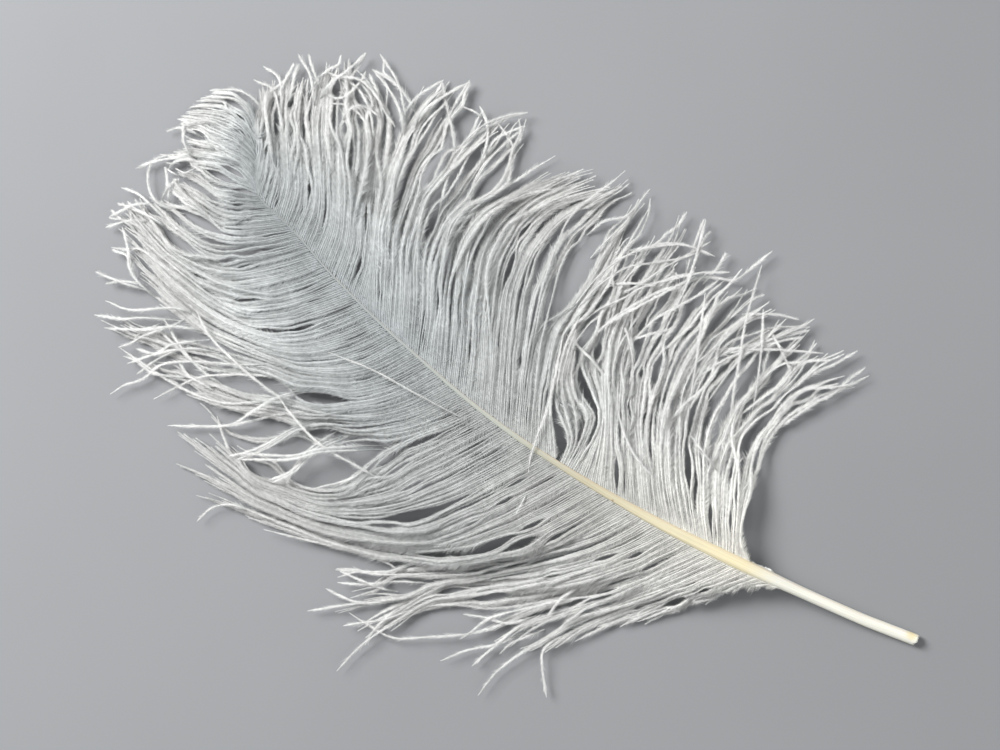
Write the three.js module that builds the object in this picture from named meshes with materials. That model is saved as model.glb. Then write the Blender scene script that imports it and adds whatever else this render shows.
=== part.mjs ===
// An ostrich feather lying on a flat surface, outer side up, in millimetres with +Z up.
// A tapering shaft carries long loose barbs that have parted into locks. Each lock is one thin
// closed solid that reaches its barbs' tips. The shaft arches off the surface, and the locks
// droop from it until they lie on the surface.
import * as THREE from "three";
import { mergeVertices } from "three/addons/utils/BufferGeometryUtils.js";

// The plan is drawn on a grid of its own: u runs from the quill's cut end towards the feather's
// tip, and v runs to the feather's left. PLAN_CENTRE is the middle of its outline.
const PLAN_CENTRE = [151, 21];

// Shaft: places along its centre line in plan, with its width there.
const SHAFT_LINE = [
  { at: [-0.6, 0.8], width: 3.9 },
  { at: [10, 3.6], width: 3.9 },
  { at: [20, 6.1], width: 3.8 },
  { at: [40, 10.3], width: 3.8 },
  { at: [55, 13.2], width: 4.3 },
  { at: [70, 15.9], width: 4.2 },
  { at: [90, 19.2], width: 3.6 },
  { at: [110, 21.6], width: 2.8 },
  { at: [130, 23.3], width: 2.2 },
  { at: [150, 24.2], width: 1.8 },
  { at: [170, 23.7], width: 1.4 },
  { at: [190, 22.0], width: 1.1 },
  { at: [210, 19.9], width: 0.9 },
  { at: [230, 16.6], width: 0.75 },
  { at: [245, 13.2], width: 0.65 },
  { at: [257, 11.2], width: 0.6 },
  { at: [263, 10.4], width: 0.55 },
];
const SHAFT_HEIGHT_SHARE = 0.86; // height of the shaft's section, as a share of its width
const SHAFT_STEPS = 64;
const SHAFT_TOP_POINTS = 6;

// The arch: how far the underside of the shaft is off the surface, highest at ARCH_PEAK_AT.
const ARCH_HEIGHT = 13;
const ARCH_PEAK_AT = 0.5;

// Locks: how thick the layer of barbs is at its root, in the middle and at its tips, and the
// share of its length after which it lies on the surface.
const ROOT_THICKNESS = 1.3;
const MIDDLE_THICKNESS = 3.0;
const TIP_THICKNESS = 0.9;
const LANDS_AT = 0.62;
const JOINT_GAP = 0.35;
const LOCK_ROWS = 10;
const COLUMNS_BETWEEN_BARBS = 3;
const SHORT_REACH = 0.93; // length of the barbs between the guiding ones

// Guiding barbs of each lock, from the quill's side to the tip's side. A barb starts on the
// shaft at the place u that comes first, or at a point of its own, and runs through five points.
const LEFT_LOCKS = {
  left_lock_1: [
    [49, [51.5, 17], [54, 20], [56.5, 23], [58.5, 25.5], [60.5, 28]],
    [53, [58, 22], [62, 28], [66, 35], [69.5, 41], [73, 48]],
    [58, [64, 25], [70, 35], [76, 44], [82, 52.5], [88.5, 60]],
    [64, [71, 29], [79, 42], [87, 55], [94, 67], [100, 78]],
    [71, [78, 31], [87, 46], [97, 61], [105, 73], [110, 86]],
    [78, [85, 32], [95, 48], [106, 62], [116, 77], [124, 95]],
  ],
  left_lock_2: [
    [80, [87, 33], [98, 49], [112, 65], [127, 80], [144, 103]],
    [88, [95, 34], [106, 50], [120, 66], [138, 85], [149.5, 115]],
    [96, [103, 36], [114, 51], [129, 67], [146, 85], [162, 107]],
    [104, [111, 37], [122, 52], [137, 68], [152.5, 82.5], [169.5, 97]],
  ],
  left_lock_3: [
    [105.5, [113, 37.5], [128, 57], [150, 77], [180, 92.5], [215, 101]],
    [116, [124, 39], [139, 57], [162, 76], [193, 92], [227, 99]],
    [128, [136, 40], [151, 57], [173, 74], [204, 88.5], [239.5, 93]],
    [140, [147, 40], [159, 56], [176, 71], [203, 85], [237, 87.5]],
    [151, [157, 38], [167, 52], [181, 66], [203, 80.5], [231, 82]],
  ],
  left_lock_4: [
    [155, [161, 36], [171, 47], [187, 58], [212, 70], [240, 78]],
    [166, [172, 36], [183, 48], [200, 58], [225, 69], [254, 79]],
    [178, [185, 36], [198, 47], [217, 57], [243, 68], [271, 79]],
    [190, [197, 35], [210, 45], [231, 54.5], [257, 64], [285, 72]],
  ],
  left_lock_5: [
    [192, [199.5, 34], [214, 44.5], [236, 53], [262, 58], [287, 57]],
    [203, [210, 33], [223, 42], [244, 48.5], [268, 51], [294, 50]],
    [213, [219, 31], [230, 39], [249, 44.5], [273, 46], [299, 45]],
    [223, [229, 29], [239, 37], [256, 41.5], [278, 41.5], [301, 39.5]],
  ],
  left_lock_6: [
    [225.5, [231, 27], [241, 34.5], [257, 38], [279, 37], [302, 34]],
    [236, [242, 25], [251, 32], [264, 34], [282, 32.5], [297, 30]],
    [246, [252, 22], [259, 27.5], [269, 29], [282, 27.5], [299.5, 25]],
    [255, [260, 18], [266, 21], [274, 22], [284, 21], [296, 19]],
    [261.5, [265.5, 14], [271, 16], [278, 17], [286, 16], [297, 14.5]],
  ],
};
const RIGHT_LOCKS = {
  right_lock_1: [
    [61, [67, 7], [72, -6], [78, -24], [75, -42], [65, -60]],
    [66, [73, 4], [80, -8], [84.5, -24], [82, -42], [74, -63]],
    [71, [79, 5], [87, -8], [92, -26], [90, -44], [88, -62]],
    [77, [87, 5], [97, -9], [103, -27], [102, -45], [98, -62]],
    [84, [95, 6], [106, -9], [112, -28], [112, -47], [108, -62]],
    [91, [102, 7], [113, -8], [120, -27], [119, -48], [115, -73]],
  ],
  right_lock_2: [
    [92.5, [104, 7], [115, -8], [122.5, -27], [123, -48], [120, -62]],
    [101, [111, 8], [121, -5], [129, -24], [131, -46], [130, -64]],
    [110, [118, 10], [127, -2], [137, -20], [140, -42], [138, -68]],
    [119, [125, 12], [132, 2], [144, -14], [149, -36], [147, -62]],
    [128, [131, 14], [139, 5.5], [149, -8], [154, -26], [151, -49]],
  ],
  right_lock_3: [
    [134, [140, 15], [147, 3], [154.5, -12], [156.5, -34], [156, -60]],
    [141, [147, 14], [153, 2], [159, -14], [161, -36], [160, -66]],
  ],
  right_lock_4: [
    [143, [150, 13], [158, 0], [166, -18], [168.5, -42], [165, -68]],
    [153, [161, 11], [169, -2], [177, -19], [179, -42], [171, -68]],
    [164, [172, 10], [181, -4], [189, -21], [189, -41], [177, -66]],
    [175, [183, 9], [192, -5], [199, -20], [197, -38], [183, -60]],
    [184, [192, 8], [200, -5], [203.5, -18], [200.5, -33], [187, -53]],
  ],
  right_lock_5: [
    [185.5, [194, 7], [202.5, -6], [206.5, -20], [203.5, -40], [206, -64]],
    [194, [203, 7], [212, -6], [217, -24], [215, -43], [213, -61]],
    [203, [212, 6], [221, -8], [227, -28], [228, -46], [228, -61]],
    [212, [221, 5], [230, -9], [237, -28], [239, -44], [237, -57]],
  ],
  right_lock_6: [
    [213.5, [223, 5], [233, -10], [242, -28], [249, -41], [259, -52]],
    [224, [233, 3], [242, -13], [251, -29], [259, -38], [266, -46]],
    [235, [244, 3], [253, -9], [262, -21], [267, -32], [270, -44]],
    [246, [254, 2], [263, -8], [271, -17], [275, -26], [278, -36]],
    [261, [265.5, 2], [270, -5.5], [276, -12.5], [280, -19], [283, -29]],
  ],
};
const TIP_LOCKS = {
  tip_plume: [
    [[265, 10.5], [270, 11.5], [276, 12.5], [284, 12.5], [292, 11.5], [301, 10.5]],
    [[266.5, 8.5], [272, 7.5], [278, 7], [286, 6.5], [294, 6.5], [303, 5]],
    [[268, 6], [273.5, 2.5], [279, 0.5], [286, 0], [294, 0], [302, 1]],
    [[269, 4], [274.5, -2], [280, -6.5], [286, -8], [292, -7.5], [299, -4.5]],
    [[269.5, 2.5], [275, -5.5], [281, -12], [286, -14], [291, -13.5], [297.5, -9.5]],
  ],
};

const HORN = { color: 0xe6dcc2, roughness: 0.42, metalness: 0 };
const DOWN = { color: 0xe4e6e8, roughness: 0.85, metalness: 0 };

// A value that rises from 0 at low to 1 at high, level at both ends.
function easeBetween(low, high, value) {
  const t = THREE.MathUtils.clamp((value - low) / (high - low), 0, 1);
  return t * t * (3 - 2 * t);
}

// The shaft's centre, width and direction at a place u of the plan.
const shaftCurve = new THREE.CatmullRomCurve3(
  SHAFT_LINE.map(({ at, width }) => new THREE.Vector3(at[0], at[1], width)),
  false,
  "centripetal",
);

function shaftAt(u) {
  let low = 0;
  let high = 1;
  while (high - low > 1e-6) {
    const middle = (low + high) / 2;
    if (shaftCurve.getPoint(middle).x < u) low = middle;
    else high = middle;
  }
  const here = shaftCurve.getPoint(low);
  const along = shaftCurve.getTangent(low);
  const direction = new THREE.Vector2(along.x, along.y).normalize();
  return { u: here.x, v: here.y, width: here.z, direction };
}

// Height of the shaft's middle above the surface at a place u of the plan.
function shaftHeight(u) {
  const first = SHAFT_LINE[0].at[0];
  const last = SHAFT_LINE[SHAFT_LINE.length - 1].at[0];
  const share = THREE.MathUtils.clamp((u - first) / (last - first), 0, 1);
  const bend = Math.log(0.5) / Math.log(ARCH_PEAK_AT);
  const arch = ARCH_HEIGHT * Math.sin(Math.PI * share ** bend) ** 1.5;
  return arch + (SHAFT_HEIGHT_SHARE * shaftAt(u).width) / 2;
}

// A closed shell through rows of points. Each row holds a line of points above and a line of as
// many below, and the ends and sides are closed by strips between the two lines.
function shellGeometry(rows) {
  const across = rows[0].top.length;
  const positions = [];
  for (const { top, bottom } of rows) {
    for (const point of [...top, ...bottom]) positions.push(...point);
  }
  const top = (row, column) => row * 2 * across + column;
  const bottom = (row, column) => top(row, column) + across;
  const indices = [];
  const quad = (a, b, c, d) => indices.push(a, b, c, a, c, d);
  for (let r = 0; r < rows.length - 1; r++) {
    for (let c = 0; c < across - 1; c++) {
      quad(top(r, c), top(r + 1, c), top(r + 1, c + 1), top(r, c + 1));
      quad(bottom(r, c), bottom(r, c + 1), bottom(r + 1, c + 1), bottom(r + 1, c));
    }
    quad(top(r, 0), bottom(r, 0), bottom(r + 1, 0), top(r + 1, 0));
    const end = across - 1;
    quad(top(r, end), top(r + 1, end), bottom(r + 1, end), bottom(r, end));
  }
  const last = rows.length - 1;
  for (let c = 0; c < across - 1; c++) {
    quad(top(0, c), top(0, c + 1), bottom(0, c + 1), bottom(0, c));
    quad(top(last, c), bottom(last, c), bottom(last, c + 1), top(last, c + 1));
  }
  if (signedVolume(positions, indices) < 0) indices.reverse();
  const geometry = new THREE.BufferGeometry();
  geometry.setAttribute("position", new THREE.Float32BufferAttribute(positions, 3));
  geometry.setIndex(indices);
  const closed = mergeVertices(geometry, 1e-4);
  closed.computeVertexNormals();
  return closed;
}

// Six times the volume that the triangles enclose, positive when they face out.
function signedVolume(positions, indices) {
  const corner = (i) => new THREE.Vector3().fromArray(positions, 3 * indices[i]);
  let volume = 0;
  for (let i = 0; i < indices.length; i += 3) {
    volume += corner(i).dot(corner(i + 1).cross(corner(i + 2)));
  }
  return volume;
}

function namedMesh(name, geometry, finish) {
  const mesh = new THREE.Mesh(geometry, new THREE.MeshStandardMaterial(finish));
  mesh.name = name;
  return mesh;
}

// The shaft: a rounded section swept along the centre line, a little flatter than wide.
function makeShaft() {
  const first = SHAFT_LINE[0].at[0];
  const last = SHAFT_LINE[SHAFT_LINE.length - 1].at[0];
  const rows = [];
  for (let step = 0; step <= SHAFT_STEPS; step++) {
    const u = first + ((last - first) * step) / SHAFT_STEPS;
    const { v, width, direction } = shaftAt(u);
    const middle = shaftHeight(u);
    const halfHeight = (SHAFT_HEIGHT_SHARE * width) / 2;
    const rimPoint = (turn) => {
      const side = (width / 2) * Math.cos(turn);
      const rise = halfHeight * Math.sin(turn);
      return [u - side * direction.y, v + side * direction.x, middle + rise];
    };
    const top = [];
    const bottom = [];
    for (let i = 0; i < SHAFT_TOP_POINTS; i++) {
      const turn = (Math.PI * (i + 0.5)) / SHAFT_TOP_POINTS;
      top.push(rimPoint(turn));
      bottom.push(rimPoint(-turn));
    }
    rows.push({ top, bottom });
  }
  return namedMesh("shaft", shellGeometry(rows), HORN);
}

// The points of one guiding barb in plan, with the place u where it starts and its height there.
function guidingBarb([start, ...points], side) {
  if (Array.isArray(start)) {
    return { line: [start, ...points], rootU: start[0] };
  }
  const { u, v, width, direction } = shaftAt(start);
  const out = side * (width / 2 + JOINT_GAP);
  const root = [u - out * direction.y, v + out * direction.x];
  return { line: [root, ...points], rootU: u };
}

// A barb part of the way from one guiding barb to the next.
function barbBetween(one, other, share) {
  const line = one.line.map(([u, v], i) => {
    const [otherU, otherV] = other.line[i];
    return new THREE.Vector3(
      THREE.MathUtils.lerp(u, otherU, share),
      THREE.MathUtils.lerp(v, otherV, share),
      0,
    );
  });
  const rootU = THREE.MathUtils.lerp(one.rootU, other.rootU, share);
  return { curve: new THREE.CatmullRomCurve3(line, false, "centripetal"), rootU };
}

// One lock: barbs side by side from root to tip, as a layer that droops to the surface.
function makeLock(name, guides, side) {
  const barbs = guides.map((guide) => guidingBarb(guide, side));
  const columns = [];
  for (let i = 0; i < barbs.length - 1; i++) {
    for (let part = 0; part < COLUMNS_BETWEEN_BARBS; part++) {
      const share = part / COLUMNS_BETWEEN_BARBS;
      const reach = part === 0 ? 1 : SHORT_REACH;
      columns.push({ ...barbBetween(barbs[i], barbs[i + 1], share), reach });
    }
  }
  const end = barbs[barbs.length - 1];
  columns.push({ ...barbBetween(end, end, 0), reach: 1 });
  const rows = [];
  for (let row = 0; row <= LOCK_ROWS; row++) {
    const share = row / LOCK_ROWS;
    const swell = Math.sin(Math.PI * share);
    const ends = THREE.MathUtils.lerp(ROOT_THICKNESS, TIP_THICKNESS, share);
    const thickness = THREE.MathUtils.lerp(ends, MIDDLE_THICKNESS, swell);
    const drop = 1 - easeBetween(0, LANDS_AT, share);
    const top = [];
    const bottom = [];
    for (const { curve, rootU, reach } of columns) {
      const { x, y } = curve.getPoint(share * reach);
      const under = Math.max(0, shaftHeight(rootU) - ROOT_THICKNESS / 2) * drop;
      top.push([x, y, under + thickness]);
      bottom.push([x, y, under]);
    }
    rows.push({ top, bottom });
  }
  return namedMesh(name, shellGeometry(rows), DOWN);
}

const feather = new THREE.Group();
feather.name = "ostrich_feather";
feather.add(makeShaft());
for (const [locks, side] of [
  [LEFT_LOCKS, 1],
  [RIGHT_LOCKS, -1],
  [TIP_LOCKS, 1],
]) {
  for (const [name, guides] of Object.entries(locks)) {
    feather.add(makeLock(name, guides, side));
  }
}
feather.position.set(-PLAN_CENTRE[0], -PLAN_CENTRE[1], 0);

export default feather;
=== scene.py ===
"""An ostrich plume lying on a pale surface, outer side up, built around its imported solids.

A feather is drawn in plan on a millimetre grid of its own: u runs from the quill's cut end
towards the tip and v to the feather's left. Heights are millimetres above the surface. Every
mesh is turned into metres of the shared frame when it is made.
"""

import logging
from dataclasses import dataclass, replace
from enum import Enum

import bpy
import numpy as np
from mathutils import Matrix, Vector


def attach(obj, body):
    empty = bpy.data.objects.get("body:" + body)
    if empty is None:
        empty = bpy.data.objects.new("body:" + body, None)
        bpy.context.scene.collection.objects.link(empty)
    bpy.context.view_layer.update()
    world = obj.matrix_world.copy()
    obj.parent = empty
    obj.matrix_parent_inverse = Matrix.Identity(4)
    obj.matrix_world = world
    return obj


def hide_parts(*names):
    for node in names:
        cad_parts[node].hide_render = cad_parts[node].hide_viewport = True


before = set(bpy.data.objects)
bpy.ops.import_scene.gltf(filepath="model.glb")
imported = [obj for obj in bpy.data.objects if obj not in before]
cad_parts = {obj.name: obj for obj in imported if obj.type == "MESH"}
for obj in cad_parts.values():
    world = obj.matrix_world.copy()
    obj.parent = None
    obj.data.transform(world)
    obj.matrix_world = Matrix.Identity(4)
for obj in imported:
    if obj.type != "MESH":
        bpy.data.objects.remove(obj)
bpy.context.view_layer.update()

LOG = logging.getLogger("ostrich_plume")
BODY = "root"
BAKE_MAP = "OFBake"
MM = 0.001
PLAN_CENTRE = (151.0, 21.0)
FLOOR_CLEARANCE = 0.06
QUICK_COARSENESS = 1.0
CURVE_SAMPLES = 60
BARBULE_SEEDS = 1000
NOISE_RANGE = (0.3, 0.7)
MAP_EDGE = 0.01
MAP_SPAN = 0.97
LANE_HALF = 0.44
BARBULE_ON_MAP = 0.003

Point = tuple[float, float]
Guide = tuple[float, tuple[Point, ...]]
Colour = tuple[float, ...]


# ---------------------------------------------------------------- curves and numbers


def to_row(points: np.ndarray) -> np.ndarray:
    """Turns plan points with heights into metres of the shared frame.

    Args:
        points: millimetres, with u, v and height along the last axis.

    Returns:
        The same points in the row frame, in metres.
    """
    moved = np.array(points, float)
    moved[..., 0] -= PLAN_CENTRE[0]
    moved[..., 1] -= PLAN_CENTRE[1]
    return moved * MM


def ease(low: float | np.ndarray, high: float | np.ndarray, value: np.ndarray) -> np.ndarray:
    """A value that rises smoothly from 0 at low to 1 at high.

    Args:
        low: where the rise starts.
        high: where the rise ends.
        value: the places asked for.

    Returns:
        The eased share at each place.
    """
    share = np.clip((value - low) / (high - low), 0.0, 1.0)
    return share * share * (3.0 - 2.0 * share)


def smooth_curve(points: np.ndarray, samples: int) -> np.ndarray:
    """A Catmull-Rom curve through points.

    Args:
        points: (..., n, d) points, the curve running along n.
        samples: how many places along the curve to give.

    Returns:
        (..., samples, d) points, evenly spaced in the curve's own parameter.
    """
    first = 2 * points[..., :1, :] - points[..., 1:2, :]
    last = 2 * points[..., -1:, :] - points[..., -2:-1, :]
    padded = np.concatenate([first, points, last], axis=-2)
    place = np.linspace(0, points.shape[-2] - 1, samples)
    start = np.minimum(place.astype(int), points.shape[-2] - 2)
    t = (place - start)[:, None]
    a, b, c, d = (padded[..., start + i, :] for i in range(4))
    return 0.5 * (
        2 * b + (c - a) * t + (2 * a - 5 * b + 4 * c - d) * t**2 + (3 * b - a - 3 * c + d) * t**3
    )


def length_along(curve: np.ndarray) -> np.ndarray:
    """Length of a curve from its start to each of its points."""
    steps = np.linalg.norm(np.diff(curve, axis=0), axis=1)
    return np.concatenate([[0.0], np.cumsum(steps)])


def evenly_spaced(curves: np.ndarray, samples: int) -> np.ndarray:
    """Spaces the points of each curve evenly along its length.

    Args:
        curves: (n, k, d) points along n curves.
        samples: how many points each curve gets.

    Returns:
        (n, samples, d) points.
    """
    found = np.empty((curves.shape[0], samples, curves.shape[2]))
    for i, curve in enumerate(curves):
        length = length_along(curve)
        wanted = np.linspace(0, length[-1], samples)
        for axis in range(curves.shape[2]):
            found[i, :, axis] = np.interp(wanted, length, curve[:, axis])
    return found


def wander(rng: np.random.Generator, rows: int, knots: int, samples: int) -> np.ndarray:
    """Smooth random waves, one along each row.

    Args:
        rng: the seeded source of random numbers.
        rows: how many waves.
        knots: how many random values each wave passes through.
        samples: how many places along each wave.

    Returns:
        (rows, samples) values of about -1 to 1.
    """
    values = rng.normal(0.0, 0.55, (rows, knots, 1))
    return smooth_curve(values, samples)[..., 0]


def along(values: np.ndarray, barb: np.ndarray, place: np.ndarray) -> np.ndarray:
    """Reads values given at even steps along barbs at places between the steps.

    Args:
        values: (barbs, steps) or (barbs, steps, d) values.
        barb: the barb of each reading.
        place: the share of the barb's length of each reading.

    Returns:
        One value, or one row of d values, for each reading.
    """
    scaled = np.clip(place, 0, 1) * (values.shape[1] - 1)
    low = np.minimum(scaled.astype(int), values.shape[1] - 2)
    part = scaled - low
    if values.ndim == 3:
        part = part[:, None]
    return values[barb, low] * (1 - part) + values[barb, low + 1] * part


def unit(vectors: np.ndarray) -> np.ndarray:
    """Scales vectors along the last axis to length 1."""
    return vectors / np.maximum(np.linalg.norm(vectors, axis=-1, keepdims=True), 1e-12)


def leftwards(forward: np.ndarray) -> np.ndarray:
    """Turns plan directions along the last axis a quarter turn to the left."""
    return np.stack([-forward[..., 1], forward[..., 0]], -1)


# ---------------------------------------------------------------- finishes


class NodeBoard:
    """A material's node tree with short ways to add and join nodes."""

    def __init__(self, name: str) -> None:
        """Starts a material that holds only its output.

        Args:
            name: the material's name.
        """
        self.material = bpy.data.materials.new(name)
        self.material.use_nodes = True
        self.tree = self.material.node_tree
        self.tree.nodes.clear()
        self.output = self.add("ShaderNodeOutputMaterial")

    def add(self, kind: str, **settings: object) -> bpy.types.Node:
        """Adds a node.

        Args:
            kind: the node's Blender type.
            settings: properties to set on the node.

        Returns:
            The new node.
        """
        node = self.tree.nodes.new(kind)
        for key, value in settings.items():
            setattr(node, key, value)
        return node

    def join(self, source: bpy.types.NodeSocket, target: bpy.types.NodeSocket) -> None:
        """Links an output socket to an input socket."""
        self.tree.links.new(source, target)

    def map_place(self) -> bpy.types.NodeSocket:
        """The place on the bake map."""
        return self.add("ShaderNodeUVMap", uv_map=BAKE_MAP).outputs["UV"]

    def place(self) -> bpy.types.NodeSocket:
        """The place on the object."""
        return self.add("ShaderNodeTexCoord").outputs["Object"]

    def split(self, source: bpy.types.NodeSocket) -> tuple[bpy.types.NodeSocket, ...]:
        """Splits a vector into the sockets of its three values."""
        node = self.add("ShaderNodeSeparateXYZ")
        self.join(source, node.inputs[0])
        return tuple(node.outputs)

    def surface(
        self, colour: bpy.types.NodeSocket, roughness: float, specular: float
    ) -> bpy.types.Node:
        """Adds the main shader.

        Args:
            colour: the colour's socket.
            roughness: how matt the surface is.
            specular: how much it reflects.

        Returns:
            The shader's node.
        """
        node = self.add("ShaderNodeBsdfPrincipled")
        node.inputs["Roughness"].default_value = roughness
        node.inputs["Specular IOR Level"].default_value = specular
        self.join(colour, node.inputs["Base Color"])
        return node

    def finish(self, shader: bpy.types.Node) -> bpy.types.Material:
        """Puts a shader on the material's surface and gives the material."""
        self.join(shader.outputs[0], self.output.inputs["Surface"])
        return self.material

    def ramp(
        self, source: bpy.types.NodeSocket, stops: tuple[tuple[float, Colour], ...]
    ) -> bpy.types.NodeSocket:
        """Turns a value into colours between stops.

        Args:
            source: the value's socket.
            stops: places from 0 to 1, each with its linear colour.

        Returns:
            The colour's socket.
        """
        node = self.add("ShaderNodeValToRGB")
        elements = node.color_ramp.elements
        while len(elements) < len(stops):
            elements.new(0.5)
        for element, (place, colour) in zip(elements, stops):
            element.position = place
            element.color = (*colour, 1.0)
        self.join(source, node.inputs["Fac"])
        return node.outputs["Color"]

    def spread(
        self, source: bpy.types.NodeSocket, given: Point, wanted: Point
    ) -> bpy.types.NodeSocket:
        """Maps a value from one range to another, held at its ends.

        Args:
            source: the value's socket.
            given: the range it comes in.
            wanted: the range it goes to.

        Returns:
            The new value's socket.
        """
        node = self.add("ShaderNodeMapRange")
        for name, value in zip(("From Min", "From Max", "To Min", "To Max"), given + wanted):
            node.inputs[name].default_value = value
        self.join(source, node.inputs["Value"])
        return node.outputs["Result"]

    def blend(
        self,
        kind: str,
        share: float | bpy.types.NodeSocket,
        one: bpy.types.NodeSocket | Colour,
        other: bpy.types.NodeSocket | Colour,
    ) -> bpy.types.NodeSocket:
        """Mixes two colours.

        Args:
            kind: the Blender mix mode.
            share: how much of the mix is used, as a number or a socket.
            one: the first colour, or its socket.
            other: the second colour, or its socket.

        Returns:
            The mixed colour's socket.
        """
        node = self.add("ShaderNodeMix", data_type="RGBA", blend_type=kind)
        for name, value in (("Factor_Float", share), ("A_Color", one), ("B_Color", other)):
            socket = next(s for s in node.inputs if s.identifier == name)
            if isinstance(value, bpy.types.NodeSocket):
                self.join(value, socket)
            elif isinstance(value, tuple):
                socket.default_value = (*value, 1.0)
            else:
                socket.default_value = value
        return next(s for s in node.outputs if s.identifier == "Result_Color")

    def noise(
        self, vector: bpy.types.NodeSocket, scale: tuple[float, float, float], detail: float = 3.0
    ) -> bpy.types.NodeSocket:
        """Soft noise on a vector that is stretched first.

        Args:
            vector: the coordinates' socket.
            scale: how many waves of noise to a unit, along each axis.
            detail: octaves of finer noise.

        Returns:
            The noise value's socket.
        """
        stretch = self.add("ShaderNodeVectorMath", operation="MULTIPLY")
        stretch.inputs[1].default_value = scale
        self.join(vector, stretch.inputs[0])
        node = self.add("ShaderNodeTexNoise")
        node.inputs["Scale"].default_value = 1.0
        node.inputs["Detail"].default_value = detail
        self.join(stretch.outputs[0], node.inputs["Vector"])
        return node.outputs["Fac"]


@dataclass(frozen=True)
class DownFinish:
    """Soft white barbs, greyer and bluer close to the shaft and warmer near the quill.

    quill_fade is where along the row frame, in metres, the warm colours give way to the grey
    ones. Each of clouds is a number of waves to a metre and the darkest shade they make.
    """

    name: str = "down"
    root_grey: Colour = (0.43, 0.458, 0.463)
    middle_grey: Colour = (0.575, 0.595, 0.59)
    tip_white: Colour = (0.75, 0.75, 0.73)
    quill_root: Colour = (0.74, 0.725, 0.67)
    quill_middle: Colour = (0.76, 0.755, 0.725)
    quill_fade: tuple[float, float] = (-0.085, 0.045)
    clouds: tuple[tuple[float, float], ...] = ((160.0, 0.88), (750.0, 0.84))
    through_light: float = 0.2
    roughness: float = 0.62
    specular: float = 0.35

    def material(self) -> bpy.types.Material:
        """Makes the material.

        Returns:
            A material whose colour follows each barb from its root to its tip.
        """
        board = NodeBoard(self.name)
        grown, _, _ = board.split(board.map_place())
        place = board.place()
        outer = board.ramp(
            grown, ((0.0, self.root_grey), (0.38, self.middle_grey), (0.8, self.tip_white))
        )
        near_quill = board.ramp(
            grown, ((0.0, self.quill_root), (0.3, self.quill_middle), (0.75, self.tip_white))
        )
        from_quill = board.spread(board.split(place)[0], self.quill_fade, (0.0, 1.0))
        colour = board.blend("MIX", from_quill, near_quill, outer)
        for scale, darkest in self.clouds:
            cloud = board.spread(board.noise(place, (scale,) * 3), NOISE_RANGE, (darkest, 1.07))
            colour = board.blend("MULTIPLY", 1.0, colour, cloud)
        # The shade attribute holds each barb's own brightness with painted light and shade on top.
        barb = board.add("ShaderNodeAttribute", attribute_name="shade")
        colour = board.blend("MULTIPLY", 1.0, colour, barb.outputs["Color"])
        surface = board.surface(colour, self.roughness, self.specular)
        through = board.add("ShaderNodeBsdfTranslucent")
        board.join(colour, through.inputs["Color"])
        mix = board.add("ShaderNodeMixShader")
        mix.inputs["Fac"].default_value = self.through_light
        board.join(surface.outputs[0], mix.inputs[1])
        board.join(through.outputs[0], mix.inputs[2])
        return board.finish(mix)


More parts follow.
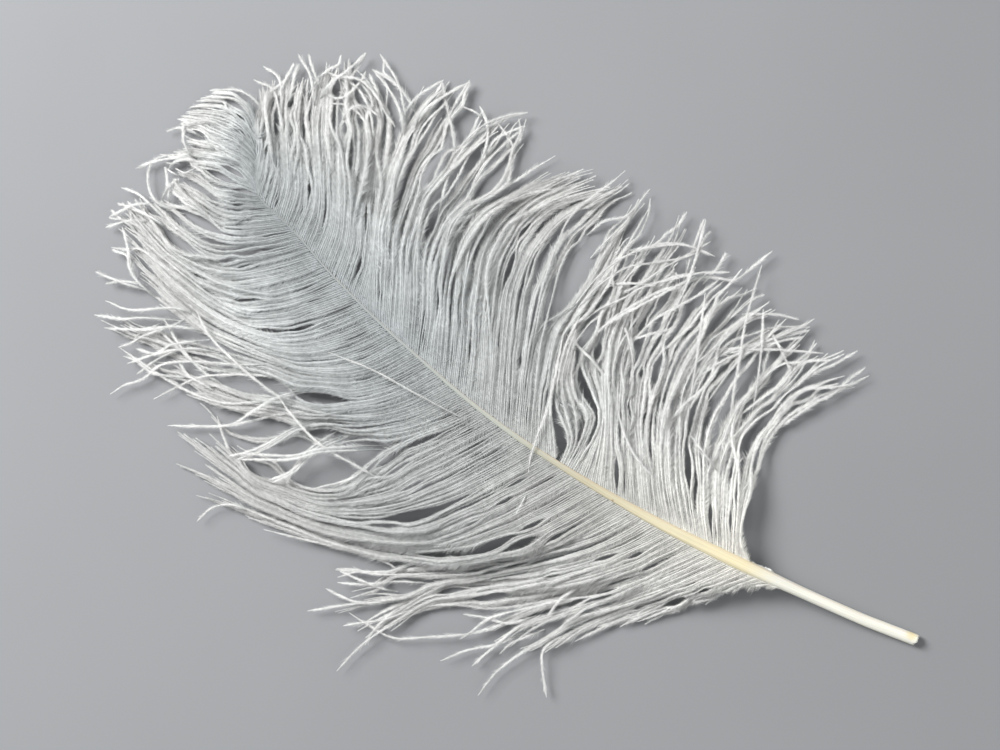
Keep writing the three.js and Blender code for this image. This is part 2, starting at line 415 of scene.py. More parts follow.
@dataclass(frozen=True)
class HornFinish:
    """Satin quill horn: ivory at the bare quill, cream along the vane, grey towards the tip.

    along holds the colours from the cut end to the tip, and across how strong the pink edge
    line is round the shaft. The line runs along the shaft's top edge on the feather's right
    side and is partly the shaft's own pinkish colour and partly painted shade on that edge.
    Each of the two spots is a place in plan and a radius, in millimetres.
    """

    name: str = "horn"
    along: tuple[tuple[float, Colour], ...] = (
        (0.0, (0.80, 0.79, 0.70)),
        (0.18, (0.80, 0.79, 0.70)),
        (0.225, (0.78, 0.70, 0.46)),
        (0.326, (0.66, 0.60, 0.42)),
        (0.434, (0.475, 0.434, 0.31)),
        (0.542, (0.38, 0.39, 0.34)),
        (0.70, (0.264, 0.284, 0.276)),
        (0.865, (0.20, 0.22, 0.22)),
    )
    across: tuple[Point, ...] = ((0.0, 0.0), (0.30, 0.0), (0.345, 1.0), (0.375, 1.0), (0.43, 0.0))
    pink_line_and_painted_shade: Colour = (0.66, 0.48, 0.38)
    speck_brown: Colour = (0.30, 0.20, 0.12)
    speck_at: tuple[float, float, float] = (109.9, 22.5, 0.6)
    end_beige: Colour = (0.72, 0.62, 0.36)
    end_at: tuple[float, float, float] = (2.2, 0.2, 2.6)
    roughness: float = 0.42
    specular: float = 0.45
    inner_light: float = 0.18
    light_radius: Colour = (1.0, 0.8, 0.5)
    light_scale: float = 0.0012
    bump: float = 0.25
    bump_height: float = 0.0001
    streaks: tuple[float, float, float] = (9.0, 22.0, 1.0)
    grain: tuple[float, float, float] = (14.0, 60.0, 1.0)
    noise_detail: float = 4.0

    def material(self) -> bpy.types.Material:
        """Makes the material.

        Returns:
            A material whose colour follows the shaft, with streaks, an edge line and a speck.
        """
        board = NodeBoard(self.name)
        on_map = board.map_place()
        from_end, round_shaft, _ = board.split(on_map)
        base = board.ramp(from_end, self.along)
        streak = board.noise(on_map, self.streaks, self.noise_detail)
        streak = board.spread(streak, NOISE_RANGE, (0.84, 1.06))
        colour = board.blend("MULTIPLY", 1.0, base, streak)
        line = board.ramp(round_shaft, tuple((at, (strong,) * 3) for at, strong in self.across))
        fade = board.spread(from_end, (0.20, 0.34), (0.26, 0.3))
        strength = board.add("ShaderNodeMath", operation="MULTIPLY")
        board.join(line, strength.inputs[0])
        board.join(fade, strength.inputs[1])
        # Line along the top right edge: partly the shaft's own pink, partly painted shade.
        colour = board.blend("MIX", strength.outputs[0], colour, self.pink_line_and_painted_shade)
        colour = board.blend("MIX", self.spot(board, self.speck_at), colour, self.speck_brown)
        colour = board.blend("MIX", self.spot(board, self.end_at), colour, self.end_beige)
        surface = board.surface(colour, self.roughness, self.specular)
        surface.inputs["Subsurface Weight"].default_value = self.inner_light
        surface.inputs["Subsurface Radius"].default_value = self.light_radius
        surface.inputs["Subsurface Scale"].default_value = self.light_scale
        bump = board.add("ShaderNodeBump")
        bump.inputs["Strength"].default_value = self.bump
        bump.inputs["Distance"].default_value = self.bump_height
        grain = board.noise(on_map, self.grain, self.noise_detail)
        board.join(grain, bump.inputs["Height"])
        board.join(bump.outputs[0], surface.inputs["Normal"])
        return board.finish(surface)

    def spot(self, board: NodeBoard, place_and_radius: tuple[float, ...]) -> bpy.types.NodeSocket:
        """A small soft-edged spot on the shaft.

        Args:
            board: the material's nodes.
            place_and_radius: where it is in plan, and its radius, in millimetres.

        Returns:
            A share that is greatest in the spot's middle and 0 away from it.
        """
        u, v, radius = place_and_radius
        at = to_row(np.array([u, v, 0.0]))
        flat = board.add("ShaderNodeVectorMath", operation="MULTIPLY")
        flat.inputs[1].default_value = (1.0, 1.0, 0.0)
        board.join(board.place(), flat.inputs[0])
        away = board.add("ShaderNodeVectorMath", operation="DISTANCE")
        away.inputs[1].default_value = (at[0], at[1], 0.0)
        board.join(flat.outputs[0], away.inputs[0])
        return board.spread(away.outputs["Value"], (0.3 * radius * MM, radius * MM), (0.8, 0.0))


@dataclass(frozen=True)
class FloorFinish:
    """A plain pale surface with the faintest cloudiness."""

    name: str = "plain_floor"
    pale: Colour = (0.235, 0.24, 0.247)
    roughness: float = 0.85
    specular: float = 0.2

    def material(self) -> bpy.types.Material:
        """Makes the material.

        Returns:
            A matt pale material.
        """
        board = NodeBoard(self.name)
        cloud = board.spread(board.noise(board.place(), (6.0,) * 3), NOISE_RANGE, (0.97, 1.03))
        colour = board.blend("MULTIPLY", 1.0, self.pale, cloud)
        return board.finish(board.surface(colour, self.roughness, self.specular))


# ---------------------------------------------------------------- meshes


@dataclass
class TriangleSoup:
    """Triangles gathered from many small things, made into one mesh at the end."""

    name: str

    def __post_init__(self) -> None:
        """Starts with no triangles."""
        self.points: list[np.ndarray] = []
        self.corners: list[np.ndarray] = []
        self.maps: list[np.ndarray] = []
        self.shades: list[np.ndarray] = []
        self.count = 0

    def add(
        self, points: np.ndarray, corners: np.ndarray, uv: np.ndarray, shade: np.ndarray
    ) -> None:
        """Adds triangles.

        Args:
            points: (n, 3) millimetres in plan with heights.
            corners: (m, 3) indices into points.
            uv: (n, 2) place of each point on the bake map.
            shade: (n,) brightness of each point.
        """
        self.points.append(points)
        self.corners.append(corners + self.count)
        self.maps.append(uv)
        self.shades.append(shade)
        self.count += len(points)

    def build(self, material: bpy.types.Material, smooth: bool = False) -> bpy.types.Object:
        """Makes the Blender object.

        Args:
            material: its only material.
            smooth: whether its faces are shaded smooth.

        Returns:
            The object, linked to the scene.
        """
        points = np.concatenate(self.points)
        points[:, 2] = np.maximum(points[:, 2], FLOOR_CLEARANCE)
        corners = np.concatenate(self.corners).astype(np.int32)
        uv = np.concatenate(self.maps)
        mesh = bpy.data.meshes.new(self.name)
        mesh.vertices.add(len(points))
        mesh.vertices.foreach_set("co", to_row(points).astype(np.float32).ravel())
        mesh.loops.add(corners.size)
        mesh.loops.foreach_set("vertex_index", corners.ravel())
        mesh.polygons.add(len(corners))
        mesh.polygons.foreach_set("loop_start", np.arange(0, corners.size, 3, dtype=np.int32))
        mesh.update(calc_edges=True)
        mesh.polygons.foreach_set("use_smooth", np.full(len(corners), smooth))
        layer = mesh.uv_layers.new(name=BAKE_MAP, do_init=False)
        layer.uv.foreach_set("vector", uv[corners.ravel()].astype(np.float32).ravel())
        shade = mesh.attributes.new("shade", "FLOAT", "POINT")
        shade.data.foreach_set("value", np.concatenate(self.shades).astype(np.float32))
        mesh.materials.append(material)
        made = bpy.data.objects.new(self.name, mesh)
        bpy.context.scene.collection.objects.link(made)
        LOG.info("%s: %d triangles", self.name, len(corners))
        return made


@dataclass
class BarbBundle:
    """Barbs lying side by side, all with the same number of steps along them.

    Each barb has a lane of its own across the bake map, one of lanes, and first_place is the
    share of a whole barb's length that its first point stands for. fluff is how far the long
    barbules stand off at each step, 1 being freely, and shade is the brightness there, which
    for a lock's barbs holds painted light and shade on top of each barb's own brightness.
    """

    paths: np.ndarray
    roll: np.ndarray
    fluff: np.ndarray
    width: np.ndarray
    shade: np.ndarray
    lane: np.ndarray
    lanes: int
    first_place: float = 0.0

    def on_map(self, barb: np.ndarray, place: np.ndarray, aside: np.ndarray) -> np.ndarray:
        """Finds places on the bake map.

        Args:
            barb: the barb of each place.
            place: the share of the barb's length.
            aside: -1 to 1, from the ends of one row of barbules to those of the other.

        Returns:
            (n, 2) map points.
        """
        along_map = self.first_place + (1 - self.first_place) * (MAP_EDGE + MAP_SPAN * place)
        across_map = (self.lane[barb] + 0.5 + LANE_HALF * aside) / self.lanes
        return np.stack([along_map, across_map], -1)


@dataclass(frozen=True)
class Barbules:
    """One kind of barbule: slim single triangles swept towards the barb's tip.

    Pairs and triples of values hold at a barb's root, along its middle and, if there is a
    third, in its outer part. Sizes are millimetres and angles are degrees. shades are the
    brightness at a barbule's end for the root and the middle, and base is that at its foot.
    Both are painted light and shade: the veil is painted darker than the core, as shade
    between the ridges, and the core's ends darker near the root and lighter further out, as
    painted shade in the grooves and a painted highlight along the barbs' edges.
    """

    gap: float
    width: float
    lengths: tuple[float, float, float]
    angles: tuple[float, float, float]
    droops: tuple[float, float]
    shades: tuple[float, float]
    base: float
    free: float = 0.0
    spread: float = 0.2
    swing: float = 12.0

    def stage(self, values: tuple[float, ...], grown: np.ndarray) -> np.ndarray:
        """Reads values that change from the root to the middle and the outer part."""
        found = values[0] + (values[1] - values[0]) * ease(0.04, 0.34, grown)
        if len(values) > 2:
            found = found + (values[2] - values[1]) * ease(0.5, 0.85, grown)
        return found


CORE = Barbules(
    gap=0.19,
    width=0.28,
    lengths=(0.5, 1.15, 1.5),
    angles=(46.0, 30.0, 23.0),
    droops=(4.0, 2.0),
    shades=(0.95, 1.03),
    base=1.0,
)
VEIL = Barbules(
    gap=0.34,
    width=0.29,
    lengths=(1.35, 3.3, 2.5),
    angles=(52.0, 34.0, 25.0),
    droops=(6.0, 14.0),
    shades=(0.93, 0.86),
    base=0.88,
    free=1.0,
    spread=0.35,
    swing=16.0,
)


@dataclass(frozen=True)
class BarbMaker:
    """Gives each barb its rib, a dense core of short barbules and a loose veil of long ones.

    Sizes are millimetres. The veil lies lower than the core, so that cores stand out as
    ridges, and it closes the vane between them. Ribs are painted a little lighter near the
    root, a painted highlight along the ridges.
    """

    rib_width: float = 0.34
    rib_tip_width: float = 0.14
    rib_steps: int = 24
    rib_painted_highlight: float = 1.04
    kinds: tuple[Barbules, ...] = (CORE, VEIL)
    tuft: float = 2.2

    def frames(self, bundle: BarbBundle) -> tuple[np.ndarray, np.ndarray, np.ndarray]:
        """Directions along barbs, across them and out of them.

        Args:
            bundle: the barbs.

        Returns:
            Unit vectors at each step: along, across to the left, and up out of the ribbon.
        """
        forward = unit(np.gradient(bundle.paths, axis=1))
        level = np.zeros_like(forward)
        level[..., :2] = leftwards(forward)
        level = unit(level)
        above = np.cross(forward, level)
        turn = bundle.roll[..., None]
        across = level * np.cos(turn) + above * np.sin(turn)
        out = above * np.cos(turn) - level * np.sin(turn)
        return forward, across, out

    def add_ribs(self, soup: TriangleSoup, bundle: BarbBundle) -> None:
        """Adds each barb's rib, a three-sided taper.

        Args:
            soup: where the triangles go.
            bundle: the barbs.
        """
        count = len(bundle.paths)
        barb = np.repeat(np.arange(count), self.rib_steps + 1)
        place = np.tile(np.linspace(0, 1, self.rib_steps + 1), count)
        centre = along(bundle.paths, barb, place)
        _, across, out = (along(v, barb, place) for v in self.frames(bundle))
        width = self.rib_width + (self.rib_tip_width - self.rib_width) * place**0.8
        width = width[:, None] / 2
        rim = np.stack(
            [centre + across * width, centre + out * width, centre - across * width], axis=1
        )
        ring = (np.arange(count * (self.rib_steps + 1)).reshape(count, -1) * 3)[:, :-1].ravel()
        corners = []
        for a, b in ((0, 1), (1, 2), (2, 0)):
            corners.append(np.stack([ring + a, ring + 3 + a, ring + b], 1))
            corners.append(np.stack([ring + b, ring + 3 + a, ring + 3 + b], 1))
        uv = np.stack([bundle.on_map(barb, place, aside) for aside in (0.1, 0.0, -0.1)], axis=1)
        grown = bundle.first_place + (1 - bundle.first_place) * place
        # Painted highlight: ribs painted lighter near the root, fading out along the barb.
        painted_rib_highlight = self.rib_painted_highlight + (1.0 - self.rib_painted_highlight) * ease(0.15, 0.55, grown)
        soup.add(
            rim.reshape(-1, 3),
            np.concatenate(corners),
            uv.reshape(-1, 2),
            np.repeat(along(bundle.shade, barb, place) * painted_rib_highlight, 3),
        )

    def add_barbules(
        self, soup: TriangleSoup, bundle: BarbBundle, rng: np.random.Generator
    ) -> None:
        """Adds both rows of each kind of barbule to each barb.

        Args:
            soup: where the triangles go.
            bundle: the barbs.
            rng: the seeded source of random numbers.
        """
        lengths = np.linalg.norm(np.diff(bundle.paths, axis=1), axis=2).sum(1)
        for kind in self.kinds:
            each = np.maximum((lengths / (kind.gap * QUICK_COARSENESS)).astype(int), 4)
            for side in (1.0, -1.0):
                self.add_row(soup, bundle, rng, kind, side, each)

    def add_row(
        self,
        soup: TriangleSoup,
        bundle: BarbBundle,
        rng: np.random.Generator,
        kind: Barbules,
        side: float,
        each: np.ndarray,
    ) -> None:
        """Adds one row of barbules to each barb.

        Args:
            soup: where the triangles go.
            bundle: the barbs.
            rng: the seeded source of random numbers.
            kind: what the barbules are like.
            side: 1 for the row on the left of the barbs and -1 for the right.
            each: how many barbules each barb has in the row.
        """
        count, total = len(each), int(each.sum())
        barb = np.repeat(np.arange(count), each)
        order = np.arange(total) - np.repeat(np.cumsum(each) - each, each)
        place = (order + rng.random(total)) / each[barb]
        grown = bundle.first_place + (1 - bundle.first_place) * place
        tufts = max(4, int(each.mean() * kind.gap * QUICK_COARSENESS / self.tuft))
        tufted = along(wander(rng, count, tufts, 4 * tufts), barb, place)
        swing = along(wander(rng, count, tufts, 4 * tufts), barb, place)
        fluff = along(bundle.fluff, barb, place)
        length = kind.stage(kind.lengths, grown) * bundle.width[barb]
        length = length * (1 + kind.free * (fluff - 1)) * (1 + tufted * (0.2 + 0.25 * kind.free))
        length = length * rng.uniform(1 - kind.spread, 1 + kind.spread, total)
        length = np.maximum(length, 0.15) * (1 - 0.72 * ease(0.86, 1.0, place))
        if bundle.first_place > 0:
            length = length * (0.25 + 0.75 * ease(0.0, 0.12, place))
        angle = kind.stage(kind.angles, grown) * (1 - 0.3 * kind.free * (1 - fluff))
        angle = np.radians(angle + swing * kind.swing * 0.6 + rng.normal(0, 5.0, total))
        droop = np.radians(kind.stage(kind.droops, grown) + rng.normal(0, 8.0, total))
        forward, across, out = (along(v, barb, place) for v in self.frames(bundle))
        swept = (
            forward * np.cos(angle)[:, None]
            + side * across * (np.sin(angle) * np.cos(droop))[:, None]
            - out * (np.sin(angle) * np.sin(droop))[:, None]
        )
        centre = along(bundle.paths, barb, place)
        half = 0.5 * kind.width * QUICK_COARSENESS * forward
        ends = np.stack([centre - side * half, centre + side * half, centre], axis=1)
        ends[:, 2] += swept * length[:, None]
        near = bundle.on_map(barb, place, np.full(total, 0.12 * side))
        far = bundle.on_map(barb, place, np.full(total, side * (0.5 + 0.5 * kind.free)))
        uv = np.stack([near, near, far], 1)
        uv[..., 0] += BARBULE_ON_MAP * np.arange(3)
        # Painted light and shade at the barbules' feet and ends, from the kind's shades and base.
        edge = kind.stage(kind.shades, grown)
        shade = np.stack([np.full(total, kind.base)] * 2 + [edge], 1)
        own = along(bundle.shade, barb, place) * rng.uniform(0.95, 1.05, total)
        corners = np.arange(3 * total).reshape(-1, 3)
        soup.add(
            ends.reshape(-1, 3), corners, uv.reshape(-1, 2), (shade * own[:, None]).ravel()
        )


# ---------------------------------------------------------------- the shaft


@dataclass
class Shaft:
    """The bare quill and the vaned part of the shaft, one tapering rod with a cut end.

    line holds places of the centre line in plan with the width there. The section is round
    up to the first of vane_begins and squared, with a groove on top, from the second on. hollow
    is how deep the cut end is, and lip, worn_corner, spike and raggedness shape its edge.
    """

    line: tuple[tuple[float, float, float], ...] = (
        (-0.6, 0.8, 3.9),
        (10, 3.6, 3.9),
        (20, 6.1, 3.8),
        (40, 10.3, 3.8),
        (55, 13.2, 4.3),
        (70, 15.9, 4.2),
        (90, 19.2, 3.6),
        (110, 21.6, 2.8),
        (130, 23.3, 2.2),
        (150, 24.2, 1.8),
        (170, 23.7, 1.4),
        (190, 22.0, 1.1),
        (210, 19.9, 0.9),
        (230, 16.6, 0.75),
        (245, 13.2, 0.65),
        (257, 11.2, 0.6),
        (263, 10.4, 0.55),
        (266.2, 8.8, 0.5),
        (268.8, 5.8, 0.42),
        (271, 2.0, 0.34),
        (273.6, -1.6, 0.28),
        (278, -6.6, 0.2),
    )
    height_share: float = 0.86
    arch: float = 13.0
    arch_ends: float = 263.0
    arch_shape: float = 1.5
    vane_begins: tuple[float, float] = (45.0, 75.0)
    squared: float = 0.22
    groove_depth: float = 0.10
    groove_width: float = 0.30
    dense_steps: int = 2000
    rings: int = 220
    crowding: float = 1.15
    points_round: int = 32
    wall: float = 0.55
    hollow: float = 3.5
    lip: float = 0.15
    closing: float = 0.05
    worn_corner: float = 1.1
    spike: float = 0.35
    raggedness: float = 0.12
    map_length: float = 278.0
    seed: int = 7

    def __post_init__(self) -> None:
        """Works out the centre line at close steps."""
        self.dense = smooth_curve(np.array(self.line, float), self.dense_steps)

    def at(self, u: np.ndarray) -> tuple[np.ndarray, np.ndarray, np.ndarray]:
        """The shaft at places along it.

        Args:
            u: places along the plan's first axis.

        Returns:
            Where the centre line is on the second axis, the width, and the plan direction.
        """
        v = np.interp(u, self.dense[:, 0], self.dense[:, 1])
        width = np.interp(u, self.dense[:, 0], self.dense[:, 2])
        slope = np.interp(
            u, self.dense[:, 0], np.gradient(self.dense[:, 1], self.dense[:, 0])
        )
        return v, width, unit(np.stack([np.ones_like(v), slope], -1))

    def spaced(self, ends: tuple[float, float], pitch: float) -> np.ndarray:
        """Places at equal steps along the shaft.

        Args:
            ends: the stretch of the shaft.
            pitch: about how far apart the places are.

        Returns:
            Where they are along the plan's first axis.
        """
        length = length_along(self.dense[:, :2])
        first, last = np.interp(ends, self.dense[:, 0], length)
        count = max(3, round((last - first) / pitch))
        wanted = first + (np.arange(count) + 0.5) * (last - first) / count
        return np.interp(wanted, length, self.dense[:, 0])

    def height(self, u: np.ndarray) -> np.ndarray:
        """Height of the shaft's middle above the surface at places along it."""
        first = self.line[0][0]
        share = np.clip((u - first) / (self.arch_ends - first), 0, 1)
        _, width, _ = self.at(u)
        arched = self.arch * np.sin(np.pi * share) ** self.arch_shape
        return arched + self.height_share * width / 2

    def ring(self, u: float, scale: float) -> np.ndarray:
        """One ring of the rod.

        Args:
            u: where along the shaft.
            scale: size of the ring as a share of the section there.

        Returns:
            Points round the ring, from underneath and over the feather's right side first.
        """
        v, width, direction = self.at(np.array([u]))
        turn = np.linspace(0, 2 * np.pi, self.points_round + 1)
        vaned = float(ease(*self.vane_begins, np.array(u)))
        squareness = 1.0 - self.squared * vaned
        side = -np.sign(np.sin(turn)) * np.abs(np.sin(turn)) ** squareness
        rise = -np.sign(np.cos(turn)) * np.abs(np.cos(turn)) ** squareness
        groove = self.groove_depth * vaned * np.exp(-((side / self.groove_width) ** 2)) * (rise > 0)
        side = side * scale * width[0] / 2
        rise = (rise - groove) * scale * self.height_share * width[0] / 2
        middle = float(self.height(np.array([u]))[0])
        across = leftwards(direction[0])
        points = np.empty((len(turn), 3))
        points[:, 0] = u + side * across[0]
        points[:, 1] = v[0] + side * across[1]
        points[:, 2] = middle + rise
        return points

    def build(self, finish: bpy.types.Material) -> bpy.types.Object:
        """Makes the rod with its open cut end.

        Args:
            finish: the horn material.

        Returns:
            The shaft's object.
        """
        rng = np.random.default_rng(self.seed)
        first, last = self.line[0][0], self.line[-1][0]
        places = first + (last - first) * np.linspace(0, 1, self.rings) ** self.crowding
        inner = 1 - 2 * self.wall / self.line[0][2]
        rows = [self.ring(first + self.hollow, scale) for scale in (self.closing, inner)]
        rows.append(self.ring(first + self.lip, inner))
        rows += [self.ring(u, 1.0) for u in places]
        rows.append(self.ring(last, self.closing))
        points = np.stack(rows)
        ragged = rng.normal(0, self.raggedness, self.points_round)
        ragged = np.append(ragged, ragged[0])
        to_left = -np.sin(np.linspace(0, 2 * np.pi, self.points_round + 1))
        worn = self.worn_corner * ease(0.1, 1.0, to_left)
        worn = worn - self.spike * ease(0.8, 1.0, -to_left)
        points[2:4, :, 0] += ragged + worn
        return self.mesh_from(points, finish)

    def mesh_from(self, points: np.ndarray, finish: bpy.types.Material) -> bpy.types.Object:
        """Skins rings of points.

        Args:
            points: (rings, points round, 3) points, the last of each ring on its first.
            finish: the horn material.

        Returns:
            The shaft's object.
        """
        rings, around = points.shape[:2]
        index = np.arange(rings * around).reshape(rings, around)
        a, b = index[:-1, :-1].ravel(), index[1:, :-1].ravel()
        c, d = index[1:, 1:].ravel(), index[:-1, 1:].ravel()
        corners = np.concatenate([np.stack([a, d, b], 1), np.stack([d, c, b], 1)])
        u = np.clip((points[..., 0] - self.line[0][0]) / self.map_length, 0, 1)
        uv = np.stack([u, np.broadcast_to(np.linspace(0, 1, around), u.shape)], -1)
        soup = TriangleSoup("shaft_horn")
        flat = points.reshape(-1, 3)
        soup.add(flat, corners, uv.reshape(-1, 2), np.ones(len(flat)))
        made = soup.build(finish, smooth=True)
        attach(made, BODY)
        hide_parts("shaft")
        return made


# ---------------------------------------------------------------- locks of barbs


class Side(Enum):
    """The side of the shaft that a lock grows on."""

    LEFT = 1
    RIGHT = -1


@dataclass(frozen=True)
class Gathering:
    """How neighbouring barbs draw together into strands of one size.

    A strand has smallest to largest barbs. They draw together by the share pull of their
    distance, from the share begins of a barb's length on, over another share of it. swing is
    how far a strand wanders off its own line, in barb pitches, so that gaps open between
    strands and close again.
    """

    smallest: int
    largest: int
    pull: float
    begins: float
    over: float
    swing: float

    def groups(self, rng: np.random.Generator, count: int) -> np.ndarray:
        """Groups neighbours into strands.

        Args:
            rng: the seeded source of random numbers.
            count: how many barbs there are.

        Returns:
            The number of each barb's strand.
        """
        sizes = rng.integers(self.smallest, self.largest + 1, count)
        return np.repeat(np.arange(count), sizes)[:count]

    def moves(
        self, rng: np.random.Generator, group: np.ndarray, roots: np.ndarray, t: np.ndarray
    ) -> np.ndarray:
        """How far each barb leaves its own line along the shaft.

        Args:
            rng: the seeded source of random numbers.
            group: the number of each barb's strand.
            roots: the barbs' root places.
            t: shares of a barb's length.

        Returns:
            (barbs, steps) moves, in root places.
        """
        number = group.max() + 1
        middle = np.array([roots[group == g].mean() for g in range(number)])
        pull = self.pull * rng.uniform(0.6, 1.1, number)
        start = self.begins + rng.uniform(0.0, 0.2, number)
        grip = ease(start[:, None], start[:, None] + self.over, t[None])
        wave = wander(rng, number, 4, len(t))
        drawn = (middle[group] - roots)[:, None] * (pull[:, None] * grip * (1 + 0.3 * wave))[group]
        pitch = (roots[-1] - roots[0]) / max(1, len(roots) - 1)
        swung = wander(rng, number, 4, len(t)) * grip * self.swing * pitch
        return drawn + swung[group]


ROUGH = (
    Gathering(1, 3, 0.3, 0.02, 0.22, 0.25),
    Gathering(2, 7, 0.5, 0.14, 0.5, 0.6),
    Gathering(9, 18, 0.15, 0.35, 0.5, 0.8),
)
SMOOTH = (
    Gathering(1, 3, 0.25, 0.05, 0.3, 0.2),
    Gathering(2, 5, 0.35, 0.3, 0.5, 0.45),
    Gathering(9, 18, 0.1, 0.45, 0.5, 0.5),
)


@dataclass(frozen=True)
class Parting:
    """A slit between strands, wide in its middle and closed at both ends.

    start and end are in plan, and width and margin are the slit's and the clear strip's at
    each side of it, in millimetres. overrun is how far from its middle it closes, as a share
    of its length, and reach how far barbs are pushed, in half widths. Long barbules are laid
    down by the share flattened within the first of calm, and less up to the second.
    """

    start: Point
    end: Point
    width: float
    margin: float = 0.3
    overrun: float = 0.56
    reach: float = 2.2
    flattened: float = 0.78
    calm: tuple[float, float] = (0.6, 2.2)

    def open(self, flat: np.ndarray, fluff: np.ndarray) -> tuple[np.ndarray, np.ndarray]:
        """Pushes barbs aside and lays their long barbules down.

        Args:
            flat: (barbs, steps, 2) plan points.
            fluff: (barbs, steps) how far long barbules stand off.

        Returns:
            The points and the fluff, clear of the slit.
        """
        start, end = np.array(self.start), np.array(self.end)
        length = np.linalg.norm(end - start)
        forward = (end - start) / length
        aside = leftwards(forward)
        away = flat - (start + end) / 2
        share = np.clip(1 - (away @ forward / (self.overrun * length)) ** 2, 0, 1) ** 1.5
        across = away @ aside
        half = self.width / 2 + self.margin
        reach = self.reach * half
        side = np.sign((share * across * np.exp(-np.abs(across) / reach)).sum(1))[:, None]
        own = across * side
        push = half * np.exp(-np.maximum(own, 0) / reach) + np.maximum(-own, 0)
        push = push * share * np.exp(-((own / (4 * reach)) ** 2))
        near = np.sqrt(share) * (1 - ease(*self.calm, np.abs(own)))
        return flat + (push * side)[..., None] * aside, fluff * (1 - self.flattened * near)


# How many for each of a lock's slits, and the ranges of place, length, width, then the margin.
SLIT_KINDS = (
    (1.0, (0.1, 0.62), (9, 20), (0.1, 0.6), 0.2),
    (2.2, (0.03, 0.34), (4, 9), (0.0, 0.25), 0.13),
)


